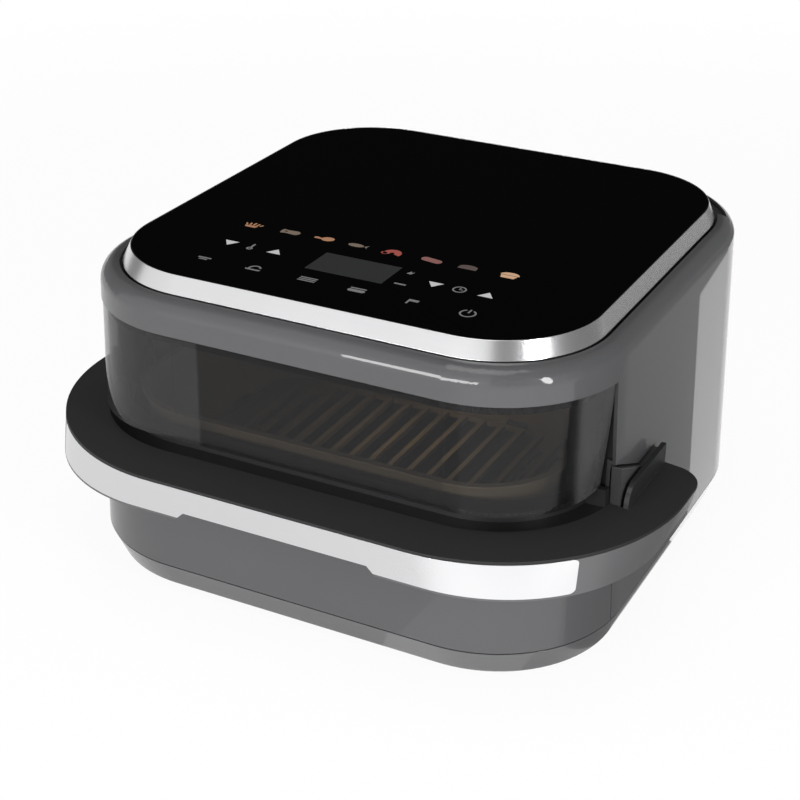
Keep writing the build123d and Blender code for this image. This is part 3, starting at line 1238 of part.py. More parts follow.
def make_handle_band():
    """Grey body of the handle: a tray closed by the dark cover, with a finger pocket from below."""
    outer = HANDLE.solid(HANDLE_LOW_Z, COVER_Z)
    hollow = HANDLE.solid(HANDLE_LOW_Z + HANDLE_FLOOR, COVER_Z + OVER, HANDLE_WALL)
    hollow -= BODY.solid(HANDLE_LOW_Z - OVER, LIP_Z, -HANDLE_FIT - HANDLE_INNER_WALL)
    arms = ARM_OUTER_HALF + HANDLE_INNER_WALL
    hollow -= block((-arms, arms), (DRAWER_END_Y - HANDLE_WALL, FAR), (-FAR, FAR))
    end = SPLIT_Y + HANDLE_END_SET - HANDLE_WALL
    hollow -= behind(end - HANDLE_END_RADIUS / 2)
    pocket_top = HANDLE_LOW_Z + FINGER_POCKET_DEPTH
    half = FINGER_POCKET_HALF + HANDLE_WALL
    hollow -= block((-half, half), (-FAR, FAR), (-FAR, pocket_top + HANDLE_WALL))
    pocket = HANDLE.solid(HANDLE_LOW_Z - OVER, pocket_top, HANDLE_WALL)
    pocket -= BODY.solid(HANDLE_LOW_Z - 2 * OVER, pocket_top + OVER, -HANDLE_FIT - HANDLE_INNER_WALL)
    pocket = pocket & block((-FINGER_POCKET_HALF, FINGER_POCKET_HALF), (-FAR, 0), (-FAR, FAR))
    band = outer - handle_cutter() - handle_end() - hollow - pocket - notch() - make_handle_plate()
    hole = (FRONT_LOW_Y - HANDLE_REACH / 2, FRONT_LOW_Y + HANDLE_REACH, SCREW_RADIUS + SCREW_FIT)
    for x, z in handle_screw_places():
        band -= rod_y(x, z, *hole)
    return band


def make_handle_top_cover():
    """Dark crowned cover of the handle, with its lip over the groove and a cheek on each side."""
    edge = HANDLE.at(HANDLE_TOP_Z)
    lip = BODY.at(LIP_Z).inset(LIP_WIDTH)
    low_lip = Outline(lip.half, lip.front, BACK_Y, lip.r_front, lip.r_back)
    cover = edge.prism(COVER_Z, HANDLE_TOP_Z)
    cover += loft([edge.face(HANDLE_TOP_Z), low_lip.face(LIP_Z)], ruled=True)
    under = BODY.solid(COVER_Z - OVER, SHELF_Z, -HANDLE_FIT)
    cover -= under + lip.prism(COVER_Z - OVER, LIP_Z + OVER)
    beside = ARM_OUTER_HALF + CHEEK_GAP
    cover -= block((-beside, beside), (DRAWER_END_Y, FAR), (-FAR, FAR))
    for cheek in both_sides(cheek_slab()):
        cover += cheek
    return cover - handle_end()


def cheek_slab():
    """Right-hand cheek that stands on the cover beside the arm, with a curved front edge."""
    x = ARM_OUTER_HALF + CHEEK_GAP
    top = HANDLE_TOP_Z + CHEEK_HEIGHT
    slab = block((x, x + CHEEK_THICKNESS), (DRAWER_END_Y, ARM_BACK_Y), (HANDLE_TOP_Z, top))
    front = slab.edges().filter_by(Axis.X).sort_by(Axis.Z)[-2:].sort_by(Axis.Y)[0]
    return fillet(front, CHEEK_NOSE)


def make_drawer_arm():
    """Right-hand arm beside the housing, which carries the end of the handle band."""
    return arm_slab(ARM_INNER_HALF, ARM_OUTER_HALF, 0, ARM_BACK_Y)


def make_handle_screws():
    screws = []
    for x, z in handle_screw_places():
        inner_face = BODY.at(z + SCREW_HEAD_RADIUS).front + WALL
        head = rod_y(x, z, inner_face, inner_face + SCREW_HEAD, SCREW_HEAD_RADIUS)
        screws.append(head + rod_y(x, z, inner_face - 2 * SCREW_HEAD - WALL, inner_face, SCREW_RADIUS))
    return screws


def make_grill_plate():
    """Cast plate with ribs along the drawer and slots between them, on four legs."""
    plan = BASKET.inset(BASKET_WALL + PLATE_MARGIN)
    top = GRILL_Z + GRILL_THICKNESS
    plate = plan.prism(GRILL_Z, top)
    area = plan.inset(2 * GRILL_RIB_WIDTH).prism(GRILL_Z - OVER, top + GRILL_RIB_HEIGHT)
    count = 2 * int((plan.half - 2 * GRILL_RIB_WIDTH) / GRILL_RIB_PITCH) + 1
    middle = (plan.front + plan.back) / 2
    length = plan.back - plan.front
    slots = []
    ribs = []
    for i in range(count):
        x = (i - (count - 1) / 2) * GRILL_RIB_PITCH
        width = (x - GRILL_RIB_WIDTH / 2, x + GRILL_RIB_WIDTH / 2)
        ribs.append(block(width, (-FAR, FAR), (top - OVER, FAR)) & area)
    for i in range(count - 1):
        x = (i - (count - 2) / 2) * GRILL_RIB_PITCH
        for y in (middle - length / 4.4, middle + length / 4.4):
            half = length / 7
            width = (x - GRILL_SLOT_WIDTH / 2, x + GRILL_SLOT_WIDTH / 2)
            slots.append(block(width, (y - half, y + half), (-FAR, FAR)))
    plate = plate + ribs
    plate -= slots
    for x in (-plan.half + GRILL_LEG_INSET, plan.half - GRILL_LEG_INSET):
        for y in (plan.front + GRILL_LEG_INSET, plan.back - GRILL_LEG_INSET):
            plate += rod_z(x, y, GRILL_Z - GRILL_LEG, GRILL_Z, GRILL_LEG_RADIUS)
    return plate


def make_plate_bumpers():
    """Silicone blocks on the edge of the grill plate that keep it off the basket's walls."""
    plan = BASKET.inset(BASKET_WALL + PLATE_MARGIN)
    outer = BASKET.inset(BASKET_WALL + SOFT_GAP)
    z = (GRILL_Z + GRILL_THICKNESS / 2 - BUMPER_HEIGHT / 2, GRILL_Z + GRILL_THICKNESS / 2 + BUMPER_HEIGHT / 2)
    front = BASKET_FRONT_Y + BASKET_FRONT_RADIUS + BUMPER_FRONT
    back = BASKET_BACK_Y - BASKET_BACK_RADIUS - BUMPER_BACK
    half = BUMPER_LENGTH / 2
    bumpers = []
    for y in (front, back):
        bumpers += both_sides(block((plan.half, outer.half), (y - half, y + half), z))
    for x in (-BUMPER_X, BUMPER_X):
        bumpers.append(block((x - half, x + half), (outer.front, plan.front), z))
        bumpers.append(block((x - half, x + half), (plan.back, outer.back), z))
    return bumpers


rails = both_sides(make_drawer_rail())
runners = both_sides(make_runner())
arms = both_sides(make_drawer_arm())

parts = {
    "outer_shell": make_outer_shell(),
    "base": make_base(),
    "rubber_feet": make_rubber_feet(),
    "base_screws": make_base_screws(),
    "panel_ring": make_panel_ring(),
    "control_glass": make_control_glass(),
    "panel_carrier": make_panel_carrier(),
    "touch_board": make_touch_board(),
    "key_pads": make_key_pads(),
    "display_module": display_block(0, GLASS_SEAT_Z),
    "rear_top_vent": make_rear_top_vent(),
    "front_soffit": make_front_soffit(),
    "cavity_frame": make_cavity_frame(),
    "cavity_liner": make_cavity_liner(),
    "fan_baffle": make_fan_baffle(),
    "ring_heater": make_ring_heater(),
    "grill_heater": make_grill_heater(),
    "heater_guard": make_heater_guard(),
    "insulation_top": make_insulation_top(),
    "insulation_back": make_insulation_back(),
    "drawer_rail_right": rails[0],
    "drawer_rail_left": rails[1],
    "motor_bracket": make_motor_bracket(),
    "fan_motor": make_fan_motor(),
    "motor_screws": make_motor_screws(),
    "cooling_shroud": make_cooling_shroud(),
    "power_board": make_power_board(),
    "wiring_loom": make_wiring_loom(),
    "thermal_cutout": make_thermal_cutout(),
    "temperature_probe": make_temperature_probe(),
    "lamp_lens": make_lamp_lens(),
    "lamp_housing": make_lamp_housing(),
    "lamp_bulb": make_lamp_bulb(),
    "interlock_switch": make_interlock_switch(),
    "rear_panel": make_rear_panel(),
    "rear_panel_screws": make_rear_screws(),
    "cord_gland": make_cord_gland(),
    "fan_shaft": make_fan_shaft(),
    "convection_fan": make_convection_fan(),
    "cooling_fan": make_cooling_fan(),
    "interlock_plunger": make_interlock_plunger(),
    "front_window": make_front_window(),
    "window_frame": make_window_frame(),
    "inner_pane": make_inner_pane(),
    "finger_channel": make_finger_channel(),
    "lower_front_panel": make_lower_front_panel(),
    "drawer_bulkhead": make_drawer_bulkhead(),
    "drawer_seal": make_drawer_seal(),
    "basket": make_basket(),
    "basket_brackets": make_basket_brackets(),
    "runner_right": runners[0],
    "runner_left": runners[1],
    "handle_band": make_handle_band(),
    "handle_top_cover": make_handle_top_cover(),
    "handle_plate": make_handle_plate(),
    "drawer_arm_right": arms[0],
    "drawer_arm_left": arms[1],
    "handle_screws": make_handle_screws(),
    "grill_plate": make_grill_plate(),
    "plate_bumpers": make_plate_bumpers(),
}

for node, piece in parts.items():
    solids = piece if isinstance(piece, list) else [piece]
    export_step(Compound([s for item in solids for s in item.solids()]), f"parts/{node}.step")
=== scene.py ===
import logging
from dataclasses import dataclass, field
from enum import Enum
from math import atan2, cos, degrees, pi, radians, sin

import bmesh
import bpy
from mathutils import Matrix, Vector


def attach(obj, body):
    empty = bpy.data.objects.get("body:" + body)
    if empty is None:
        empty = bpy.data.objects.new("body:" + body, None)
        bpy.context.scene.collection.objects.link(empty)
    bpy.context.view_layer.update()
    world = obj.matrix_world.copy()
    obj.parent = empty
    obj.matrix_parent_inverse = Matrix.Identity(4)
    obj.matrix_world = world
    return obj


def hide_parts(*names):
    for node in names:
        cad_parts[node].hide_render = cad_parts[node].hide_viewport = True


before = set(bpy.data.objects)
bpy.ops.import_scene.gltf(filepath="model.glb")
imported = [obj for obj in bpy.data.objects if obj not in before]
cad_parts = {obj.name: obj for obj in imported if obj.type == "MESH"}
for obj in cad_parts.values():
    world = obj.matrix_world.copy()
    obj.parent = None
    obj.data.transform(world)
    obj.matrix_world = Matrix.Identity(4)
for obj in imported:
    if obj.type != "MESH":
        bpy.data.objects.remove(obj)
log = logging.getLogger("air_fryer_grill")

MM = 0.001
MERGE = 0.002 * MM
FLAT = radians(0.4)
Colour = tuple[float, float, float]
Point = tuple[float, float]
Loop = list[Point]
Place = tuple[float, float, float]
BEYOND = 300.0
FRONT = (0.0, -1.0, 0.0)
UP = (0.0, 0.0, 1.0)


class Value:
    """A number inside a material, so that shader maths reads as plain arithmetic."""

    def __init__(self, shader: "Shader", socket: bpy.types.NodeSocket) -> None:
        """Keep the socket and the material that it belongs to.

        Args:
            shader: The material being wired.
            socket: The output that carries the number.
        """
        self.shader = shader
        self.socket = socket

    def _math(self, operation: str, first: object, second: object) -> "Value":
        """Add one Math node.

        Args:
            operation: The node's operation.
            first: Its first input, a Value or a number.
            second: Its second input, a Value or a number.

        Returns:
            The node's result.
        """
        made = self.shader.node("ShaderNodeMath", {"operation": operation}, {0: first, 1: second})
        return Value(self.shader, made.outputs[0])

    def __add__(self, other: object) -> "Value":
        """Sum."""
        return self._math("ADD", self, other)

    def __sub__(self, other: object) -> "Value":
        """Difference."""
        return self._math("SUBTRACT", self, other)

    def __mul__(self, other: object) -> "Value":
        """Product."""
        return self._math("MULTIPLY", self, other)

    def at_least(self, other: object) -> "Value":
        """The larger of the two."""
        return self._math("MAXIMUM", self, other)

    def above(self, other: object) -> "Value":
        """1 where this is greater, else 0."""
        return self._math("GREATER_THAN", self, other)

    def step(self, low: float, high: float) -> "Value":
        """A smooth rise from 0 to 1.

        Args:
            low: Where the rise starts.
            high: Where it ends.

        Returns:
            The eased number.
        """
        kind = {"interpolation_type": "SMOOTHSTEP"}
        ends = {"Value": self, "From Min": low, "From Max": high}
        made = self.shader.node("ShaderNodeMapRange", kind, ends)
        return Value(self.shader, made.outputs["Result"])


class Shader:
    """A material's node tree, with one way to add a node."""

    def __init__(self, name: str) -> None:
        """Start a material with a lone Principled shader.

        Args:
            name: The material's name.
        """
        self.material = bpy.data.materials.new(name)
        self.material.use_nodes = True
        self.tree = self.material.node_tree
        self.surface = self.tree.nodes["Principled BSDF"]
        self.output = self.tree.nodes["Material Output"]

    def node(self, kind: str, settings: dict[str, object], inputs: dict[object, object]) -> bpy.types.Node:
        """Add a node, set what it does, then fill its sockets.

        Args:
            kind: The node's type.
            settings: Its properties, set first.
            inputs: Values, sockets or numbers by socket name or index.

        Returns:
            The node.
        """
        made = self.tree.nodes.new(kind)
        for key, value in settings.items():
            setattr(made, key, value)
        for key, value in inputs.items():
            self.feed(made.inputs[key], value)
        return made

    def feed(self, socket: bpy.types.NodeSocket, value: object) -> None:
        """Link or set one socket.

        Args:
            socket: The input to fill.
            value: A Value, a socket, or a plain number, colour or vector.
        """
        source = value.socket if isinstance(value, Value) else value
        if isinstance(source, bpy.types.NodeSocket):
            self.tree.links.new(source, socket)
        else:
            socket.default_value = source

    def place(self, scale: Place = (1, 1, 1)) -> bpy.types.NodeSocket:
        """Object coordinates, stretched for grain that runs one way.

        Args:
            scale: How much each axis is multiplied by.

        Returns:
            The coordinate socket.
        """
        where = self.node("ShaderNodeTexCoord", {}, {}).outputs["Object"]
        return self.node("ShaderNodeMapping", {}, {"Vector": where, "Scale": scale}).outputs["Vector"]

    def axis(self, index: int) -> Value:
        """One object coordinate as a number.

        Args:
            index: 0, 1 or 2 for X, Y or Z.

        Returns:
            The coordinate in metres.
        """
        split = self.node("ShaderNodeSeparateXYZ", {}, {"Vector": self.place()})
        return Value(self, split.outputs[index])

    def noise(self, where: bpy.types.NodeSocket, scale: float, detail: float = 2.0) -> Value:
        """Fractal noise.

        Args:
            where: The coordinates it follows.
            scale: Its frequency per metre.
            detail: How many octaves it has.

        Returns:
            The noise from 0 to 1.
        """
        made = self.node("ShaderNodeTexNoise", {}, {"Vector": where, "Scale": scale, "Detail": detail})
        return Value(self, made.outputs[0])

    def blend(self, factor: object, low: Colour, high: Colour) -> bpy.types.NodeSocket:
        """Mix two colours.

        Args:
            factor: 0 for the first colour, 1 for the second.
            low: The first colour.
            high: The second colour.

        Returns:
            The mixed colour's socket.
        """
        colours = {0: factor, 6: (*low, 1.0), 7: (*high, 1.0)}
        return self.node("ShaderNodeMix", {"data_type": "RGBA"}, colours).outputs[2]

    def bump(self, height: Value, depth: float) -> bpy.types.NodeSocket:
        """A relief that feeds the shader's normal.

        Args:
            height: The height from 0 to 1.
            depth: The height of 1 in metres.

        Returns:
            The normal's socket.
        """
        made = self.node("ShaderNodeBump", {}, {"Height": height, "Distance": depth, "Strength": 1.0})
        return made.outputs["Normal"]

    def set(self, **sockets: object) -> None:
        """Fill sockets of the Principled shader; an underscore stands for a space in a name.

        Args:
            **sockets: Values by socket name.
        """
        for key, value in sockets.items():
            self.feed(self.surface.inputs[key.replace("_", " ")], value)


class Grain(Enum):
    """Which way the fine relief of a finish runs."""

    EVEN = (1.0, 1.0, 1.0)
    ALONG_X = (0.012, 1.0, 1.0)
    ALONG_Z = (1.0, 1.0, 0.012)


@dataclass(frozen=True)
class Finish:
    """A surface finish: its colour, its gloss and the fine relief that the light catches."""

    name: str
    colour: Colour
    roughness: float
    metallic: float = 0.0
    coat: float = 0.0
    coat_roughness: float = 0.08
    grain: Grain = Grain.EVEN
    grain_scale: float = 900.0
    grain_depth: float = 0.00002
    variation: float = 0.06
    rough_spread: float = 0.10
    specular: float = 0.5
    glow: float = 0.0
    alpha: float = 1.0
    anisotropy: float = 0.0
    fine_detail: float = 3.0
    broad_scale: float = 14.0
    broad_detail: float = 2.0

    def build(self) -> bpy.types.Material:
        """Wire the material.

        Returns:
            The finished material.
        """
        shader = Shader(self.name)
        fine = shader.noise(shader.place(self.grain.value), self.grain_scale, self.fine_detail)
        broad = shader.noise(shader.place(), self.broad_scale, self.broad_detail)
        low = tuple(c * (1 - self.variation) for c in self.colour)
        high = tuple(min(c * (1 + self.variation), 1.0) for c in self.colour)
        mixed = fine * 0.5 + broad * 0.5
        shader.set(
            Base_Color=shader.blend(mixed, low, high),
            Roughness=(fine * 0.6 + broad * 0.4 - 0.5) * self.rough_spread + self.roughness,
            Metallic=self.metallic,
            Coat_Weight=self.coat,
            Coat_Roughness=self.coat_roughness,
            Specular_IOR_Level=self.specular,
            Anisotropic=self.anisotropy,
            Alpha=self.alpha,
            Normal=shader.bump(fine, self.grain_depth),
        )
        # a glow: real for the lamp bulb, painted light on the printed signs
        if self.glow:
            shader.set(Emission_Color=(*self.colour, 1.0), Emission_Strength=self.glow)
        return shader.material


@dataclass(frozen=True)
class TintedWindow:
    """Smoked clear plastic: dark, glossy and seen through, with a painted reflection at both ends.

    The painted reflection, paler and less clear, starts at left_from on the left, and on the right behind
    right_from.
    """

    dark: Colour = (0.008, 0.008, 0.0085)
    # pale is the colour of the painted reflection at the window's ends
    pale: Colour = (0.080, 0.080, 0.082)
    alpha: float = 0.46
    reflection_alpha: float = 0.34
    left_from: float = 0.0720
    left_fade: float = 0.0015
    left_reflection: float = 0.28
    right_from: float = -0.137
    right_fade: float = 0.004
    right_reflection: float = 0.75
    smear_scale: float = 9.0
    smear_detail: float = 3.0
    roughness: float = 0.02
    specular: float = 0.34

    def build(self) -> bpy.types.Material:
        """Wire the material.

        Returns:
            The finished material.
        """
        shader = Shader("tinted_window")
        smear = shader.noise(shader.place(), self.smear_scale, self.smear_detail)
        left = (shader.axis(0) * -1.0).step(self.left_from, self.left_from + self.left_fade)
        near, behind = self.right_from - self.right_fade, self.right_from + self.right_fade
        right = shader.axis(1).step(near, behind) * shader.axis(0).above(0.0)
        # painted reflection: paler and less see-through at the left end and behind right_from on the right
        painted_reflection = left * self.left_reflection + right * self.right_reflection
        shader.set(
            Base_Color=shader.blend(painted_reflection, self.dark, self.pale),
            Roughness=smear * self.roughness + self.roughness,
            Alpha=painted_reflection * self.reflection_alpha + self.alpha,
            Specular_IOR_Level=self.specular,
        )
        return shader.material


class Kit:
    """Every finish of the appliance, built once and shared."""

    def __init__(self) -> None:
        """List the finishes by the name that the pieces ask for."""
        finishes = [
            Finish("shell_paint", (0.067, 0.067, 0.070), 0.40, coat=0.60, coat_roughness=0.02,
                   specular=0.10, grain_depth=0.000002),
            Finish("band_paint", (0.082, 0.082, 0.085), 0.42, coat=0.3, coat_roughness=0.2,
                   specular=0.3, grain_depth=0.000008),
            Finish("arm_paint", (0.052, 0.052, 0.054), 0.45, coat=0.1, coat_roughness=0.25,
                   specular=0.3, grain_depth=0.000010),
            Finish("dark_grip", (0.016, 0.016, 0.0165), 0.55, grain_scale=2600.0, grain_depth=0.00003,
                   specular=0.22),
            Finish("brushed_plate", (0.66, 0.66, 0.67), 0.30, 1.0, grain=Grain.ALONG_X,
                   grain_scale=5200.0, grain_depth=0.000012, rough_spread=0.16, variation=0.05,
                   anisotropy=0.5),
            Finish("satin_ring", (0.68, 0.68, 0.69), 0.24, 1.0, grain=Grain.ALONG_X,
                   grain_scale=4200.0, grain_depth=0.000006, rough_spread=0.10, variation=0.04),
            Finish("black_glass", (0.0025, 0.0025, 0.0028), 0.05, specular=0.06, grain_depth=0.0,
                   variation=0.0),
            # the finger channel's own black; on the shell's split faces this finish is painted shade
            Finish("groove_black_and_painted_gap_shade", (0.010, 0.010, 0.011), 0.38, grain_scale=1800.0,
                   grain_depth=0.00002),
            Finish("moulded_black", (0.018, 0.018, 0.019), 0.55, grain_scale=2200.0,
                   grain_depth=0.00004),
            Finish("frame_black", (0.010, 0.010, 0.011), 0.60, grain_depth=0.000004, specular=0.15),
            # painted shade for the drawer arms' front faces
            Finish("arm_shade", (0.020, 0.020, 0.021), 0.55, grain_depth=0.000010, specular=0.2),
            Finish("dark_screw", (0.10, 0.10, 0.10), 0.38, 1.0, grain_scale=900.0, variation=0.08),
            # painted highlight: the handle cover's upward faces near the lip are paler
            Finish("lip_painted_highlight", (0.034, 0.034, 0.035), 0.50, grain_scale=2600.0, grain_depth=0.00002,
                   specular=0.3),
            Finish("foot_rubber", (0.020, 0.020, 0.020), 0.80, grain_scale=1500.0, grain_depth=0.00006),
            Finish("grey_silicone", (0.060, 0.060, 0.062), 0.62, grain_scale=1200.0,
                   grain_depth=0.00003),
            Finish("sheet_steel", (0.46, 0.46, 0.47), 0.34, 1.0, grain=Grain.ALONG_Z,
                   grain_scale=2600.0, grain_depth=0.00001, variation=0.08),
            Finish("ceramic_coat", (0.36, 0.285, 0.19), 0.50, 0.05, grain_scale=1600.0,
                   grain_depth=0.000003, variation=0.12),
            Finish("cast_coat", (0.19, 0.152, 0.10), 0.60, 0.0, grain_scale=1400.0,
                   grain_depth=0.00001, variation=0.18),
            Finish("heater_tube", (0.20, 0.17, 0.15), 0.42, 1.0, grain_scale=1200.0,
                   grain_depth=0.00003, variation=0.3),
            Finish("motor_can", (0.50, 0.50, 0.50), 0.30, 1.0, grain_scale=800.0, variation=0.1),
            Finish("fan_metal", (0.64, 0.64, 0.65), 0.32, 1.0, grain_scale=900.0, variation=0.1),
            Finish("screw_metal", (0.70, 0.70, 0.70), 0.25, 1.0, grain_scale=900.0, variation=0.08),
            Finish("board_mask", (0.015, 0.11, 0.045), 0.35, coat=0.3, grain_scale=700.0,
                   variation=0.25),
            Finish("mineral_fibre", (0.78, 0.75, 0.68), 0.95, grain_scale=1600.0, grain_depth=0.0005,
                   variation=0.12),
            Finish("lamp_glass", (0.95, 0.93, 0.88), 0.12, alpha=0.35, grain_depth=0.0,
                   rough_spread=0.0),
            Finish("lamp_glow", (1.0, 0.80, 0.52), 0.3, glow=6.0, grain_depth=0.0),
            Finish("inner_glass", (0.02, 0.02, 0.02), 0.03, alpha=0.10, grain_depth=0.0,
                   rough_spread=0.0, specular=0.2),
            # painted light: each printed sign glows a little, standing in for lamp light on the print
            Finish("sign_white", (0.75, 0.75, 0.75), 0.5, glow=0.06, grain_depth=0.0),
            Finish("sign_grey", (0.25, 0.25, 0.25), 0.5, glow=0.05, grain_depth=0.0),
            Finish("sign_orange", (0.55, 0.275, 0.14), 0.5, glow=0.06, grain_depth=0.0),
            Finish("sign_tan", (0.26, 0.20, 0.15), 0.5, glow=0.04, grain_depth=0.0),
            Finish("sign_rose", (0.33, 0.14, 0.125), 0.5, glow=0.05, grain_depth=0.0),
            Finish("sign_red", (0.47, 0.10, 0.075), 0.5, glow=0.06, grain_depth=0.0),
            Finish("sign_cream", (0.82, 0.50, 0.30), 0.5, glow=0.08, grain_depth=0.0),
            Finish("sign_brown", (0.14, 0.10, 0.09), 0.5, glow=0.04, grain_depth=0.0),
            Finish("display_face", (0.045, 0.046, 0.047), 0.30, grain_depth=0.0, variation=0.05),
        ]
        self.materials = {finish.name: finish.build() for finish in finishes}
        self.materials["tinted_window"] = TintedWindow().build()

    def dress(self, thing: bpy.types.Object, finish: str) -> None:
        """Give an object one finish.

        Args:
            thing: The object.
            finish: The finish's name.
        """
        thing.data.materials.clear()
        thing.data.materials.append(self.materials[finish])


def deselect() -> None:
    """Leave edit mode if need be and select nothing."""
    if bpy.context.object and bpy.context.object.mode != "OBJECT":
        bpy.ops.object.mode_set(mode="OBJECT")
    bpy.ops.object.select_all(action="DESELECT")


def only(thing: bpy.types.Object) -> None:
    """Select one object and make it the active one.

    Args:
        thing: The object.
    """
    deselect()
    thing.select_set(True)
    bpy.context.view_layer.objects.active = thing


def clean_copy(node: str, name: str) -> bpy.types.Object:
    """Copy a node's mesh into a new object, with its seams merged and its flat faces joined.

    Args:
        node: The node.
        name: The new object's name.

    Returns:
        The copy, selected and active, in object mode.
    """
    copy = bpy.data.objects.new(name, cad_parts[node].data.copy())
    bpy.context.scene.collection.objects.link(copy)
    only(copy)
    bpy.ops.object.mode_set(mode="EDIT")
    bpy.ops.mesh.select_all(action="SELECT")
    bpy.ops.mesh.customdata_custom_splitnormals_clear()
    bpy.ops.mesh.remove_doubles(threshold=MERGE)
    bpy.ops.mesh.dissolve_limited(angle_limit=FLAT)
    bpy.ops.object.mode_set(mode="OBJECT")
    return copy


def even_shading(thing: bpy.types.Object, angle: float, weight: int = 80) -> None:
    """Smooth the round faces and keep the large flat ones flat.

    Args:
        thing: The object, already selected and active.
        angle: The edge angle in degrees past which an edge stays sharp.
        weight: How strongly a large face outweighs a small one.
    """
    bpy.ops.object.shade_smooth_by_angle(angle=radians(angle))
    weigh = thing.modifiers.new("weigh", "WEIGHTED_NORMAL")
    weigh.mode = "FACE_AREA"
    weigh.weight = weight
    weigh.keep_sharp = True
    bpy.ops.object.modifier_apply(modifier="weigh")


def unlit_by(things: list[bpy.types.Object], lamps: tuple[str, ...]) -> None:
    """Keep lamps off some pieces, so that they don't mirror in them.

    Args:
        things: The pieces.
        lamps: The names of the lamps.
    """
    group = bpy.data.collections.new("unlit")
    for thing in things:
        group.objects.link(thing)
    for member in group.collection_objects:
        member.light_linking.link_state = "EXCLUDE"
    for name in lamps:
        bpy.data.objects[name].light_linking.receiver_collection = group


@dataclass(frozen=True)
class Accent:
    """A second finish on the faces inside a box, in millimetres, that look one way."""

    finish: str
    low: Place
    high: Place
    facing: Place
    squareness: float = 0.7

    def paint(self, piece: bpy.types.Object, kit: "Kit") -> None:
        """Give those faces the finish.

        Args:
            piece: The piece, which already has its own finish.
            kit: The finishes.
        """
        piece.data.materials.append(kit.materials[self.finish])
        way = Vector(self.facing)
        for face in piece.data.polygons:
            spans = zip(self.low, face.center, self.high)
            inside = all(low * MM <= middle <= high * MM for low, middle, high in spans)
            if inside and face.normal.dot(way) > self.squareness:
                face.material_index = len(piece.data.materials) - 1


@dataclass(frozen=True)
class Softened:
    """A CAD piece with its sharp edges broken, as the moulded or pressed one has them."""

    node: str
    width: float
    finish: str
    body: str
    slot: str
    accent: Accent | None = None
    segments: int = 3
    angle: float = 32.0
    shading: float = 35.0

    def make(self, kit: Kit) -> None:
        """Copy the node's mesh, round its edges and let it stand for the node.

        Args:
            kit: The finishes.
        """
        piece = clean_copy(self.node, self.node + "_soft")
        bevel = piece.modifiers.new("edge", "BEVEL")
        bevel.width = self.width * MM
        bevel.segments = self.segments
        bevel.limit_method = "ANGLE"
        bevel.angle_limit = radians(self.angle)
        bevel.use_clamp_overlap = True
        bevel.miter_outer = "MITER_ARC"
        bpy.ops.object.modifier_apply(modifier="edge")
        even_shading(piece, self.shading)
        kit.dress(piece, self.finish)
        if self.accent:
            self.accent.paint(piece, kit)
        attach(piece, self.body)
        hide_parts(self.node)
        log.info("%s: %d faces", piece.name, len(piece.data.polygons))


def mirror_only(card: bpy.types.Object) -> None:
    """Let a studio card show in shiny surfaces only.

    Args:
        card: The card.
    """
    for ray in ("camera", "diffuse", "transmission", "shadow", "volume_scatter"):
        setattr(card, "visible_" + ray, False)


@dataclass(frozen=True)
class SoftBox:
    """A rectangular lamp that faces the appliance.

    The azimuth counts degrees to the right of straight in front, the elevation degrees above
    the floor; the reach and the sides are metres, and the power is in watts.
    """

    name: str
    azimuth: float
    elevation: float
    wide: float
    high: float
    power: float
    reach: float = 2.2

    def hang(self, middle: Vector) -> None:
        """Put the lamp up.

        Args:
            middle: The point that it faces.
        """
        data = bpy.data.lights.new(self.name, "AREA")
        data.shape = "RECTANGLE"
        data.size, data.size_y = self.wide, self.high
        data.energy = self.power
        flat = self.reach * cos(radians(self.elevation))
        side, ahead = flat * sin(radians(self.azimuth)), flat * cos(radians(self.azimuth))
        place = middle + Vector((side, -ahead, self.reach * sin(radians(self.elevation))))
        box = bpy.data.objects.new(self.name, data)
        box.location = place
        box.rotation_euler = (middle - place).to_track_quat("-Z", "Y").to_euler()
        bpy.context.scene.collection.objects.link(box)


@dataclass(frozen=True)
class CavitySpot:
    """The warm spot inside the cavity, which lights the grill plate from above."""

    place: Place = (0.0, -0.02, 0.160)
    aim: Place = (-0.005, -0.01, 0.062)
    power: float = 0.42
    warmth: Colour = (1.0, 0.80, 0.52)
    cone: float = 118.0
    blend: float = 1.0
    softness: float = 0.05

    def hang(self) -> None:
        """Put the spot up."""
        data = bpy.data.lights.new("cavity_lamp", "SPOT")
        data.energy = self.power
        data.color = self.warmth
        data.spot_size = radians(self.cone)
        data.spot_blend = self.blend
        data.shadow_soft_size = self.softness
        lamp = bpy.data.objects.new("cavity_lamp", data)
        lamp.location = self.place
        way = Vector(self.aim) - lamp.location
        lamp.rotation_euler = way.to_track_quat("-Z", "Y").to_euler()
        bpy.context.scene.collection.objects.link(lamp)


